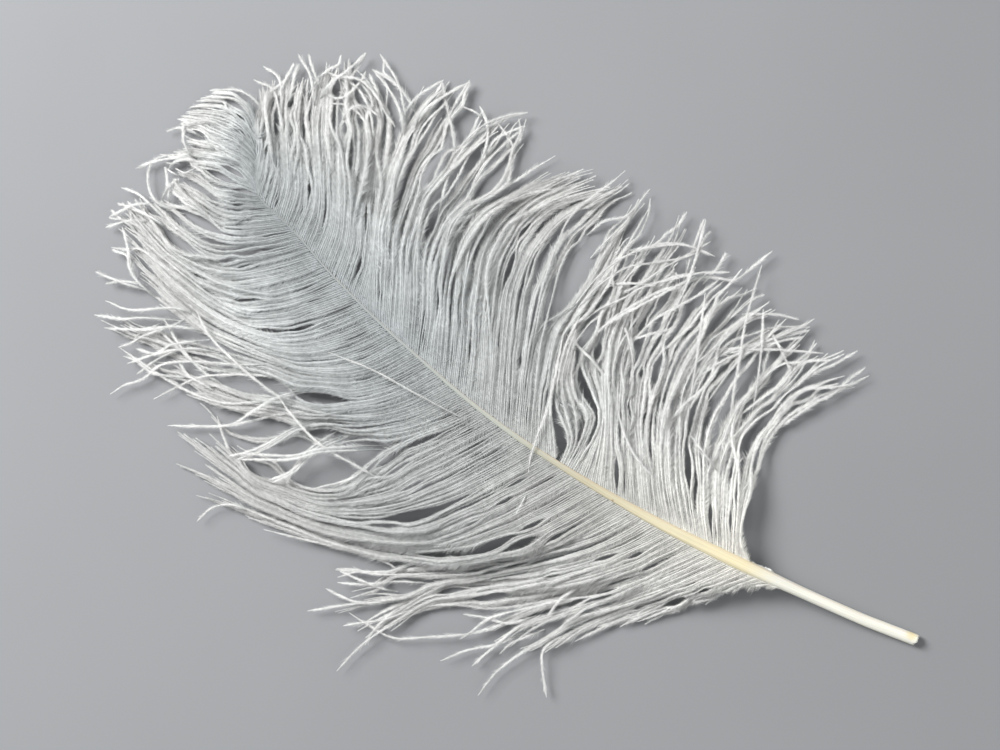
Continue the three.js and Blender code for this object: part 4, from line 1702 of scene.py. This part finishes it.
STRAYS = {
    "left_lock_1": (
        stray(94, 66, 98, 73, 98, 78, 93.5, 83.5, 88.5, 88.5),
        stray(95, 64, 100, 74, 104, 82, 106.8, 92, 107.2, 101.5),
        stray(102, 71, 106, 77, 108.5, 81, 109.5, 86),
        stray(106, 68, 110, 76, 112.5, 85, 114.5, 94.5),
        stray(107, 76, 113, 85, 119, 91.5, 124, 99.5),
    ),
    "left_lock_2": (
        stray(108, 68, 114, 77, 122, 87, 132, 95.5, 141, 102.5, 150, 104, 158, 104.5),
        stray(107, 69, 113, 76, 120, 79, 127, 82.5),
        stray(139, 88, 143, 96, 147, 106, 149, 114, 150, 122.5),
        stray(141, 90, 147, 99, 153, 105, 157, 109),
        stray(148, 93, 156, 99, 163, 105.5, 169.5, 112),
        stray(150, 95, 158, 100, 163, 101.5, 169, 102.5),
        stray(150, 79, 156, 86, 163, 91, 170, 95.5),
        stray(145, 92, 147, 98, 148, 104, 147.5, 110),
        stray(150.5, 78.5, 157, 87.5, 164.5, 91.5, 170, 95),
        stray(140.5, 75.5, 151.5, 84, 158, 88.5, 164, 92, 168, 97, height=4.0),
        stray(142, 81, 151, 86.5, 160.5, 94.5, 167, 98.5),
        stray(149, 89.5, 155.5, 92, 162, 93.5, 168.5, 95, height=4.5),
        stray(100, 45.5, 101, 51, 104, 59.5, 104, 67.5, height=5.5),
    ),
    "left_lock_3": (
        stray(203, 96, 211, 98.5, 215.5, 103, 217, 109.5),
        stray(199, 82, 209, 86, 219, 85.5, 226, 82, 232, 77.5),
        stray(197, 58, 200.5, 67, 201.5, 75, 200, 82),
        stray(176, 47, 181, 58, 184, 68, 192, 78, starts=0.4),
        stray(203, 60, 209, 67, 213, 76, 217, 86),
    ),
    "left_lock_4": (
        stray(200.5, 52, 214.5, 63.5, 222.5, 72.5, 229.5, 79.5, 243.5, 89.5),
        stray(213, 53.5, 221.5, 63, 232, 72, 243.5, 76, 255.5, 77.5, 271.5, 78),
        stray(215, 50.5, 228, 57.5, 238.5, 65, 245, 71, 249, 78, 252.5, 85),
        stray(224.5, 50, 236, 59, 248, 66.5, 257, 74, 259.5, 82, 263.2, 87, 265.2, 92.2),
        stray(244, 60, 252, 64, 260, 71.5, 266.5, 80.5),
        stray(234, 61.5, 246, 67, 257.5, 66.5, 265.5, 66, 268.5, 71.5),
        stray(235, 68, 245.5, 68, 256.5, 65.5, 265.5, 61.5),
        stray(261, 59, 271.5, 65.5, 277, 70, 285, 74),
        stray(250.5, 56, 261, 61.5, 269, 68.5, 279.5, 75.5, height=5.0),
        stray(255.5, 54, 264.5, 56.5, 276, 65.5, 284.5, 68, height=5.0),
        stray(170, 62, 183, 63, 197, 64.5, 209, 63, 219, 60, height=8.0),
        stray(208, 58, 222, 60, 238, 59, 250, 57, 258, 53, height=6.0),
        stray(254, 64, 259.5, 74, 262, 81.5),
        stray(277, 56, 284, 59.5, 288, 63.5),
        stray(275, 57, 284, 60, 293, 62.2),
        stray(259.5, 56.5, 262, 62, 265.5, 67, 268, 71, 269.5, 74.5, 272, 78, height=5.0),
        stray(245.5, 71, 251.5, 75, 257, 78, 260, 78.5, 265.5, 78.5, 269, 79.5),
        stray(235.5, 71, 242.5, 71.5, 248, 72, 252.5, 70.5, width=1.1),
        stray(265.5, 63, 267, 66, 269, 69, 269.5, 73),
        stray(249.5, 58.5, 255.5, 64, 259, 68, 261, 72.5, 267, 75, width=1.1),
        stray(180.5, 53.5, 189, 60, 197, 66.5, 203, 73.5, 210, 79, 218, 84.5, height=9.0, starts=0.3),
        stray(182, 53, 190.5, 59.5, 198, 66, 203.7, 72.6, 211, 77.8, 219, 83, height=8.5, starts=0.3),
        stray(191.5, 55.5, 197, 64, 199.3, 71, 200.3, 77, 204, 84, height=7.5, starts=0.35),
        stray(193.5, 56.5, 198.3, 64.5, 200.2, 71, 201.6, 78, 205.5, 84, height=7.0, starts=0.35),
        stray(203.5, 59.5, 208, 66, 211, 73.5, 214.5, 80, 218, 84.5, height=7.0, starts=0.4),
        stray(205.5, 60, 209.8, 67, 213, 74.5, 217, 81, 221, 85.5, height=6.5, starts=0.4),
        stray(213.5, 52.5, 219.5, 60.5, 223, 68, 225.5, 75, 229, 79.5, height=7.0, starts=0.4),
    ),
    "left_lock_5": (
        stray(281, 56, 287, 52, 293, 53),
        stray(271, 57.5, 280, 56.5, 285, 54, 288.5, 50, 294.5, 45, height=5.0),
        stray(265, 48.5, 277.5, 47.5, 285.5, 47.5, 289.5, 50.5, 293.5, 52.5),
        stray(288, 38, 293, 41, 296, 44, 299, 48),
        stray(285, 42, 293, 42, 300, 45),
    ),
    "left_lock_6": (
        stray(282, 35, 290, 33.5, 297, 33, 302.5, 34.5),
        stray(281, 29.5, 290, 31.5, 296, 28.5, 299.5, 22, 297, 17),
        stray(286.5, 30, 289.5, 26.2, 292, 23.2, 294.8, 20.4, height=4.2),
        stray(294, 20.8, 293.6, 17.6, 291.5, 15, 288, 13, 284.5, 12, height=4.0),
        stray(286.2, 13.6, 287.3, 16.6, 288.6, 18.2, 291.8, 18.7, height=4.4, width=0.6),
        stray(288.5, 20, 291.5, 20.4, 295, 20.7, height=4.0, width=0.5),
        stray(289, 11, 294, 16, 299, 21, 302.5, 26.5),
        stray(278, 22, 284, 25.5, 288, 25, 289, 21),
        stray(289, 32, 293.5, 34.5, 296.5, 37.5, 298, 40.5, 300, 44.5, height=4.5),
        stray(286.5, 38, 290.5, 37.5, 295, 38, 297.5, 38.5, 300.5, 39.5),
        stray(289, 43.5, 293, 43, 297.5, 43, 301, 42.5),
        stray(281.5, 36.5, 286.5, 36.5, 291, 37, 295, 37.5, 298, 37, height=5.0),
        stray(286, 41.5, 290, 41.5, 293.5, 41, 296, 39),
        stray(289.5, 30.5, 290, 25.5, 289.5, 21.5, height=4.5),
    ),
    "right_lock_1": (
        stray(86, 11, 97, 9.5, 110, 7, 118, 3.5, 126, -3, 131, -10, height=13.0, rise=0.0),
        stray(83, -43, 79.5, -51.5, 75.5, -58.5, 72.5, -65.5, width=1.0),
        stray(78.5, -33, 74.5, -42.5, 71, -48, 69, -56.5, 67, -62.5, width=1.0),
        stray(79.5, -26.5, 77, -34, 73, -44.5, 69, -52.5, 64.5, -61, width=1.1),
        stray(87, -33, 84.5, -41.5, 84, -50, 86, -60),
        stray(104, -39.5, 99, -50, 96, -56, 92, -62, 90.5, -65.5),
        stray(108.5, -37.5, 103, -43.5, 96, -49, 89, -53.5, 81.5, -58, height=5.5),
        stray(99.5, -45, 95.5, -52.5, 90, -58.5, height=4.5),
        stray(100, -49, 95, -56, 89.5, -61.5),
        stray(111.5, -27, 109.5, -35.5, 108.5, -43, 104, -49.5, 99, -56, 90, -62.5),
        stray(102.5, -21.5, 103, -32, 102.5, -40.5, 100, -49, 98, -60, height=5.0),
        stray(92, -23, 89.5, -32.5, 87, -39.5, 86, -46.5, 84.5, -56, height=4.5),
        stray(88.5, -28.5, 94, -38.5, 100, -49, 106, -58, height=6.0),
        stray(101, -54.5, 93, -50.5, 86.5, -47, height=5.0),
        stray(111, -38, 102, -46, 96.5, -54, 92, -61.5, 90.5, -65.5, height=4.5),
        stray(111.5, -32, 106.5, -41, 100.5, -48.5, 94, -56, 89.5, -61.5),
        stray(110, -24.5, 108.5, -32.5, 104, -41.5, 95.5, -52.5, 90, -58.5, height=4.5),
        stray(85, -5, 93.5, -7.5, 101.5, -10, height=11.5, starts=0.3, width=0.6, shade=0.95),
        stray(
            49.5, 10.8, 52.5, 10.7, 56, 11.2, 60, 12.1,
            height=7.6, starts=0.05, width=0.4, shade=1.05,
        ),
        stray(51.2, 10.9, 53, 10.4, 55.5, 10.9, height=8.0, starts=0.05, width=0.4, shade=1.08),
        stray(57, 11.9, 59.5, 11.8, 62.5, 12.6, height=8.4, starts=0.05, width=0.4, shade=1.05),
    ),
    "right_lock_2": (
        stray(131, -8, 140, -10.5, 148, -12, 154, -13, height=7.0),
        stray(133, 44.5, 134.5, 36, 139, 29, 142, 21, 146, 8, 155, -12, height=16.2, rise=-0.3),
        stray(130, -19, 136, -25, 141, -33, 145, -42),
        stray(91.5, -19.5, 98, -30.5, 103, -40.5, 108.5, -51.5, 115, -69.5, height=6.0),
        stray(110.5, -53, 104.5, -57.5, 99.5, -60.5, 94.5, -62.5),
        stray(132.5, -49.5, 127.5, -56, 119.5, -60.5, 117, -68, 115, -75.5, width=1.0),
        stray(113, -49, 111, -58, 108.5, -62.5),
        stray(127, -53.5, 126.5, -60.5, 127, -66, width=1.0),
        stray(132.5, -49.5, 137, -62, 139.5, -71),
        stray(133, -56.5, 135.5, -65.5, 135.5, -69),
        stray(154, -47.5, 148, -54, 147, -59, 145.5, -63.5, 145.5, -69.5, width=1.0),
        stray(150.5, -44, 148.5, -53, 143, -58.5, 137.5, -61, 129.5, -63, height=5.0),
        stray(140.5, -43.5, 135.5, -50.5, 129, -56.5, 122.5, -61.5, height=5.0),
        stray(141, -27.5, 135.5, -23, 130.5, -18, 127.5, -12, height=7.0),
        stray(147, -11.5, 145.5, -22.5, 142.5, -30, 138.5, -38, 131, -53.5, height=6.0),
        stray(136, -23.5, 132, -29, 128.5, -33, 126, -36.5, height=6.0),
        stray(153, -34.5, 145, -40.5, 139.5, -43.5, height=5.0),
        stray(101, -6, 107.5, -18, 115.5, -33.5, 125, -51, height=9.0, starts=0.35),
        stray(127.5, -31, 129.5, -40, 131.5, -50, 134, -58, 139, -71, height=5.5),
        stray(109.5, -6.5, 109, -17, 107, -26, 107, -35, height=9.0, starts=0.35),
        stray(154.5, -13.5, 152.5, -23.5, 152.5, -34, 154.5, -45, 156.5, -63, height=5.0),
        stray(149.5, -33, 152, -43, 154, -49, 154, -55, 155.5, -61.5, 158, -66),
        stray(162.5, -38.5, 161.5, -46.5, 160, -56, 161, -63.5),
        stray(157.5, -17.5, 157, -34, 153.5, -45.5, 147.5, -54, 141, -59.5, 136, -61.5, height=5.5),
        stray(156.5, -18.5, 155, -32, 151, -42.5, 145.5, -48.5, 138.5, -55.5, 134.5, -61, height=5.0),
        stray(152, -19.5, 150, -26.5, 146, -33.5, 142.5, -41, 136.5, -48.5, 129.5, -56.5, height=6.0),
        stray(146.5, -22, 143, -31, 138.5, -41, 134.5, -47, height=5.5),
        stray(149.5, -31, 144, -41, 141, -49.5, 137, -58, 133.5, -66, height=5.0),
        stray(114.5, -27, 112, -37, 111, -47, 107, -57, height=6.0),
        stray(135, -25, 133, -35, 129.5, -42.5, 126, -50, 123.5, -58.5, height=5.5),
        stray(
            130.8, 13, 133.5, 9.8, 140, 6.4, 146.5, 0, 150, -8, 152.5, -16,
            height=10.5, starts=0.2, width=1.1,
        ),
        stray(
            130.2, 11.5, 132.5, 7.8, 139, 4.2, 145, -0.5, 148.8, -8.5,
            height=10.5, starts=0.2, width=1.1,
        ),
        stray(
            129.8, 9.5, 132.3, 5.2, 139.5, 2.2, 144.5, -2.5, 148.5, -10,
            height=10.5, starts=0.2, width=1.1,
        ),
        stray(
            132.5, 13.2, 138, 9.8, 144.5, 5.5, 149, -2, 152.5, -11, 154, -20,
            height=10, starts=0.2, width=1.1,
        ),
    ),
    "right_lock_4": (
        stray(
            148, 25.5, 157, 28, 168, 30, 182, 32, 198, 34, 214, 38,
            height=14.5, starts=0.1, width=0.5, shade=0.9, rise=0.0,
        ),
        stray(168, -44, 166, -51, 161, -57, 160, -68.5),
    ),
    "right_lock_5": (
        stray(206, -20, 202.5, -34, 201.5, -45, 205, -53, 215, -57),
        stray(207, -28, 209, -42, 208, -52, 206, -61),
        stray(212, -20, 217, -33, 218, -46, 214, -57, 208, -65),
        stray(210, -40, 213, -49, 217, -54.5, 222, -57.5),
        stray(227, -42, 229, -53, 230, -62.5),
        stray(241, -38, 241, -47, 239, -53, 237, -57.5),
        stray(234, -36, 236, -41, 237, -47, 236.5, -53.5, 237, -57),
        stray(218.5, -38.5, 223, -44, 228.5, -49, 233, -53, 236.5, -56.5, width=1.2),
        stray(235, -37.5, 236, -42.5, 235.5, -48.5, 233, -54.5, 231, -59.5, height=4.5),
        stray(235, -44.5, 234.5, -50.5, 232.5, -56, 229.5, -62),
        stray(227.5, -44, 227.5, -49, 227, -54, 228.5, -57.5, 229.5, -62, width=1.1),
        stray(218, -55, 222.5, -55, 227, -54, width=0.6),
        stray(219, -40.5, 219, -46, 217, -53.5, 213, -60, 208, -65, height=5.0),
        stray(210.5, -44.5, 211.5, -50.5, 209.5, -55.5, 206.5, -60.5, height=4.5),
        stray(206, -29.5, 208.5, -35.5, 209.5, -42.5, 208.5, -49.5, 207, -56.5),
    ),
    "right_lock_6": (
        stray(236, -34, 242, -40, 249, -44, 258, -46.5),
        stray(238, -38, 245, -45, 251, -49, 259, -52),
        stray(242, -25, 250, -34, 259, -38.5, 270, -37),
        stray(240, -21, 248, -30, 257, -32, 263, -29),
        stray(268, -10, 275, -17, 281, -21.5, 288, -20.5),
        stray(272, -14, 278, -22, 282, -25.8, 288, -26),
        stray(266, -24, 273, -32, 281, -36),
        stray(262, -32, 262.5, -42, 263, -49),
        stray(267.5, -31, 272, -33.5, 275, -35.5, 278, -38, height=5.0),
        stray(270.5, -26.5, 271, -32.5, 270, -37.5, 268.5, -41, 269.5, -44),
        stray(266.5, -27, 267, -31, 266, -36.5, 264.5, -41.5, 263, -49.5, height=5.0),
        stray(267.5, -31, 262.5, -31.5, 260, -34.5, 259, -40, 259.5, -44.5, height=4.5),
        stray(269, -36.5, 264, -39, 259.5, -41, 254, -40.5, 249, -39, height=5.5),
        stray(263, -43.5, 258, -42.5, 252, -40, 246.5, -37.5, 241, -35.5),
        stray(256.5, -26, 256.5, -30, 255, -33.5, 252, -35, 248, -35, height=5.0),
        stray(245, -34.5, 249, -38.5, 253.5, -42, 258, -44.5, width=1.1),
        stray(274, -20.5, 276, -25, 278, -29.5, 279, -33.5, width=1.1),
        stray(278, -18, 279, -23.5, 280, -28.5, 280.5, -32.5, width=1.1),
        stray(279, -11.5, 280.5, -15, 281.5, -19.5, 280.5, -23.5, 279.5, -27),
        stray(247.5, -46, 251, -47.5, 254.5, -48, 257, -51.5),
        stray(237.5, -43, 243, -45.5, 248, -47, 253, -47, 258, -46.5, width=1.1),
    ),
    "tip_plume": (
        stray(289, 13, 293.3, 10.8, 295.4, 9.4, 298.5, 5, height=4.2, width=1.0),
        stray(291, 5, 296.5, 5.9, 299.3, 7.6, 301.5, 10.4, height=3.0),
        stray(284.5, 5.4, 289.5, 7.4, 294.3, 9.2, height=3.4),
        stray(279.3, -12.6, 281, -14.4, 286, -15.3, 291.5, -14, 298, -9, height=2.2),
        stray(281, -9.2, 285.5, -11.8, 291, -11, 297.6, -6.8, height=2.6),
    ),
}


# Painted light spots: plan u and v, radius in millimetres, and how much brighter the barbs are
# painted.
PAINTED_LIGHT_SPOTS = (
    (247.0, 49.0, 13.0, 0.2),
    (231.0, 48.0, 8.0, 0.06),
    (262.0, -30.0, 13.0, 0.05),
    (70.0, 4.0, 14.0, 0.08),
    (88.0, -22.0, 34.0, 0.05),
    (74.0, 40.0, 26.0, 0.06),
)


def painted_light_at(flat: np.ndarray) -> np.ndarray:
    """Painted light: barbs painted brighter in a few spots where they lie thickest.

    Args:
        flat: (..., 2) plan points.

    Returns:
        A factor of 1 or more at each point.
    """
    found = np.ones(flat.shape[:-1])
    for u, v, radius, gain in PAINTED_LIGHT_SPOTS:
        away = np.linalg.norm(flat - np.array([u, v]), axis=-1)
        found = found + gain * np.exp(-((away / radius) ** 2))
    return found


def partings(*rows: tuple[float, ...]) -> tuple[Parting, ...]:
    """Makes partings.

    Args:
        rows: start and end, then width, of each.

    Returns:
        The partings.
    """
    return tuple(Parting((a, b), (c, d), width) for a, b, c, d, width in rows)


PARTINGS = {
    Side.LEFT: partings(
        (70, 34, 74.5, 41, 2.0), (84, 25, 88, 37, 0.8), (91, 29, 94.5, 36, 0.9),
        (97.5, 35.5, 103.5, 42.5, 1.2), (109, 51, 113, 57, 1.2), (97, 66, 108, 79, 3.0),
        (80, 45, 82, 48, 0.6), (65, 27, 69, 30, 0.6), (101, 73, 109, 83, 1.5),
        (118.5, 67, 127, 77, 2.0), (122.5, 44.5, 129, 58.5, 2.6), (124.5, 39.5, 128.5, 50, 1.2),
        (129.5, 50, 137, 65, 2.0), (116, 40, 120, 46.5, 1.0), (142, 84, 156, 89, 4.5),
        (120, 83, 140, 99, 6.0), (135, 62.5, 150, 74, 1.6), (125.5, 62, 129.5, 69, 1.5),
        (144, 60, 149.5, 69.5, 1.0), (136, 40, 140.5, 46.5, 1.0), (137, 33, 141, 40, 0.8),
        (151.5, 57, 168, 73, 3.2), (160.5, 69.5, 171, 77.5, 2.4), (140.5, 52, 145, 59.5, 1.0),
        (171.5, 50.5, 175.5, 62, 1.0), (175, 49.5, 179.5, 61, 1.6), (131, 74, 138.5, 82.5, 1.4),
        (163.5, 53, 168, 62, 0.9), (184, 62, 200, 81, 7.5), (203, 79, 217, 86, 5.0),
        (203, 64, 213, 78, 4.5), (210, 64, 232, 82, 7.5), (216, 53, 241, 69.5, 6.0),
        (199.5, 47, 217, 57.5, 3.6), (181, 52, 193, 61, 2.4), (193, 58, 204, 63.5, 2.8),
        (239, 65.5, 252, 71, 4.0), (251, 71.5, 258, 76, 1.4), (167.5, 36.5, 175.5, 49.5, 1.2),
        (260.5, 73.3, 270.5, 77.3, 3.4), (240.5, 74.5, 250, 76.2, 1.8), (236, 60.5, 249, 64.5, 1.6),
        (223, 32.5, 230, 41.5, 0.8), (229.5, 41, 239.5, 46.3, 1.0), (253, 25, 259, 31, 1.0),
        (258, 29, 261, 37, 1.3), (251, 27, 256.5, 35, 0.8), (243, 36, 249.5, 44, 0.6),
        (255, 61, 262, 64, 1.4), (267.5, 61.5, 277, 68, 3.2), (260, 41.5, 267, 44.8, 0.8),
        (270, 36.8, 282, 40, 2.0), (266.5, 27.4, 285, 30, 2.6), (290, 22, 297, 29, 6.0),
        (282, 27.4, 289, 28.2, 1.0),
        (285, 33, 292, 36.5, 1.2), (283, 47.5, 292, 45, 0.8), (276, 51.5, 285, 50, 0.6),
        (270, 57, 281, 56.3, 0.9), (264, 9.8, 272.5, 13, 0.7), (272, 10.4, 284, 13, 1.9),
        (271.5, 7.6, 280.5, 8.6, 1.2), (273, 18.7, 284, 19.3, 0.4), (287.5, 16.2, 293.5, 17.2, 3.4),
        (288.5, 4.6, 297.5, 6.9, 2.2), (284, -10.4, 293, -10.2, 0.9), (282, -14, 291, -13.6, 0.7),
    ),
    Side.RIGHT: partings(
        (91, 6, 99, -7, 1.6), (72, 9, 77, 0, 0.8), (79, 11, 83, 4, 0.7),
        (86, 11, 92, -3, 0.7), (77, -11, 80, -20, 0.8), (84, -13, 87, -22, 0.8),
        (89, -9, 92, -15, 0.8), (93, -12, 97, -18, 0.8), (102, -10, 107, -19, 1.0),
        (102, -22, 103, -30, 2.2), (104, -32, 106, -36, 1.5), (84, -24, 83, -33, 1.5),
        (91, -25, 92, -33, 1.2), (88, -32, 87, -39, 1.5), (95, -28, 97, -40, 1.5),
        (81, -40, 75, -46, 2.5), (83, -40, 84, -55, 3.0), (91, -40, 89, -50, 2.0),
        (95, -42, 93, -50, 1.5), (110.5, 19.5, 118, 9, 1.0), (118, 9, 125, -5, 1.0),
        (126.2, 14, 129.8, 3.5, 0.8), (118, -3, 126, -6, 0.6), (110, -12, 113, -16, 0.8),
        (121, -14, 125, -29, 3.0), (125, -15, 128, -19, 2.0), (130, -18, 134, -26, 2.0),
        (128, -32, 129, -43, 1.8), (131, -29, 133, -38, 1.8), (134, -27, 136, -32, 1.2),
        (136, -38, 134, -44, 1.2), (110, -36, 108, -48, 2.5), (104, -46, 107, -55, 3.0),
        (117, -40, 116, -58, 3.0), (124, -44, 126, -52, 2.0), (131, -50, 141, -57, 5.0),
        (140, -11, 144, -18, 1.8), (144, -41, 149, -43, 4.0), (131.5, 20.5, 143, 9.8, 0.8),
        (132, 1.8, 145.5, -6.5, 2.4), (147.5, -11, 149.5, -24, 3.0), (151, -25, 152, -37, 2.0),
        (161.5, -12, 165.5, -50, 6.0), (157, -50, 157, -62, 3.0), (163, -50, 165, -62, 4.0),
        (162, -9.5, 169.5, -28, 1.0), (159.5, 6, 163, 0, 0.8), (145.5, 10.2, 149.6, 4.6, 0.9),
        (180, -14, 185, -27, 1.6), (186, -28, 186, -36, 1.0), (174, -18, 179, -31, 1.0),
        (169, -38, 171, -45, 1.2), (175, -39, 173, -51, 1.2), (191, 9, 199, -3, 0.6),
        (209, -11, 214, -23, 1.2), (214, -23, 216, -35, 1.5), (205, -30, 205, -52, 5.0),
        (209, -38, 208, -58, 2.5), (214, -36, 213, -55, 3.0), (207, -52, 208, -62, 2.5),
        (219, -24, 226, -36, 3.2), (219, -41, 226, -53, 6.0), (232, -34, 233, -47, 1.0),
        (222, 12, 224.5, 6, 0.6), (226.5, 0.5, 234, -9, 0.8), (231, -29, 236, -37.5, 1.0),
        (240, 7, 247, -6, 0.5), (249.5, 3, 254, -6.5, 0.5), (244, -13.5, 249.5, -24, 1.1),
        (252, -22.5, 256, -27, 1.8), (255, -21.5, 260.5, -27, 0.9), (248, -28.5, 255, -31.5, 1.4),
        (244.5, -30.5, 252, -35, 2.2), (251, -35, 260, -37.5, 2.2), (262.8, -30.5, 264.5, -37, 2.0),
        (240, -36.5, 252, -41.5, 1.0), (247, -42, 260, -45, 2.4), (262, -12.5, 266.5, -18.5, 0.6),
        (272, -19, 275, -23.5, 1.1), (276.8, -13, 279.6, -22, 1.0), (149.8, -2.5, 152.5, -8, 0.7),
    ),
}

PARTED_FOR_GOOD = ("right_lock_2", "right_lock_3")


def joined(locks: tuple[Lock, ...]) -> tuple[Lock, ...]:
    """Lets locks that lie against each other share the guides at their boundary.

    Args:
        locks: all locks, each side from the quill to the tip.

    Returns:
        The locks, each with its neighbours' nearest guides.
    """
    found = []
    for lock in locks:
        row = [other for other in locks if other.side is lock.side]
        place = row.index(lock)
        before = row[place - 1] if place else None
        after = row[place + 1] if place + 1 < len(row) else None
        if before and (before.name, lock.name) == PARTED_FOR_GOOD:
            before = None
        if after and (lock.name, after.name) == PARTED_FOR_GOOD:
            after = None
        ends = {"before": before and before.guides[-1], "after": after and after.guides[0]}
        found.append(replace(lock, **ends))
    return tuple(found)


# ---------------------------------------------------------------- the studio


@dataclass(frozen=True)
class Studio:
    """A pale floor, soft lights and a camera that looks straight down.

    The camera is turned so that the quill points down to the right of the picture. aim is
    the plan point in the middle of the view, and across is the view's width there, in
    millimetres.
    """

    aim: tuple[float, float] = (164.0, 10.9)
    across: float = 334.4
    lens: float = 85.0
    picture_right: tuple[float, float] = (-0.809, -0.5878)
    floor_size: float = 4.0
    nearest: float = 0.01
    world_colour: Colour = (0.95, 0.97, 1.0, 1.0)
    world_strength: float = 0.36

    def axes(self) -> tuple[Vector, Vector]:
        """The picture's right and up directions in the shared frame."""
        right = Vector((*self.picture_right, 0.0)).normalized()
        return right, Vector((0.0, 0.0, 1.0)).cross(right)

    def build(self) -> None:
        """Makes the floor, the lights, the world and the camera."""
        self.build_floor()
        self.build_camera()
        self.build_lights()

    def build_floor(self) -> None:
        """Makes the surface that the feather lies on."""
        half = self.floor_size / 2
        mesh = bpy.data.meshes.new("floor")
        corners = [(-half, -half, 0), (half, -half, 0), (half, half, 0), (-half, half, 0)]
        mesh.from_pydata(corners, [], [(0, 1, 2, 3)])
        mesh.materials.append(FloorFinish().material())
        floor = bpy.data.objects.new("floor", mesh)
        bpy.context.scene.collection.objects.link(floor)

    def build_camera(self) -> None:
        """Makes the camera above the feather and hands it to the scene."""
        camera = bpy.data.cameras.new("camera")
        camera.lens = self.lens
        camera.clip_start = self.nearest
        above = self.across * MM * self.lens / camera.sensor_width
        made = bpy.data.objects.new("camera", camera)
        right, up = self.axes()
        turn = Matrix((right, up, Vector((0.0, 0.0, 1.0)))).transposed()
        x, y, _ = to_row(np.array([*self.aim, 0.0]))
        made.matrix_world = Matrix.Translation((x, y, above)) @ turn.to_4x4()
        bpy.context.scene.collection.objects.link(made)
        bpy.context.scene.camera = made

    def build_lights(self) -> None:
        """Makes a soft key from the picture's upper left, a fill and a pale world."""
        self.lamp("key_light", (-0.75, 0.55, 0.8), size=0.55, power=28.0)
        self.lamp("fill_light", (0.7, -0.5, 0.9), size=1.0, power=4.0)
        world = bpy.data.worlds.new("pale_world")
        world.use_nodes = True
        background = world.node_tree.nodes["Background"]
        background.inputs["Color"].default_value = self.world_colour
        background.inputs["Strength"].default_value = self.world_strength
        bpy.context.scene.world = world
        bpy.context.scene.view_settings.view_transform = "Standard"

    def lamp(
        self, name: str, place: tuple[float, float, float], size: float, power: float
    ) -> None:
        """Makes one soft lamp that shines on the feather.

        Args:
            name: the lamp's name.
            place: metres to the picture's right, up the picture and above the floor.
            size: the side of the lamp's square, in metres.
            power: watts.
        """
        light = bpy.data.lights.new(name, "AREA")
        light.size = size
        light.energy = power
        right, up = self.axes()
        made = bpy.data.objects.new(name, light)
        made.location = right * place[0] + up * place[1] + Vector((0, 0, place[2]))
        made.rotation_euler = made.location.to_track_quat("Z", "Y").to_euler()
        bpy.context.scene.collection.objects.link(made)


def main() -> None:
    """Builds the studio and the feather."""
    logging.basicConfig(level=logging.INFO, format="%(message)s")
    Studio().build()
    shaft = Shaft()
    shaft.build(HornFinish().material())
    finish = DownFinish().material()
    maker = BarbMaker()
    for lock in joined(LOCKS):
        lock.build(shaft, maker, finish)


if __name__ == "__main__":
    main()
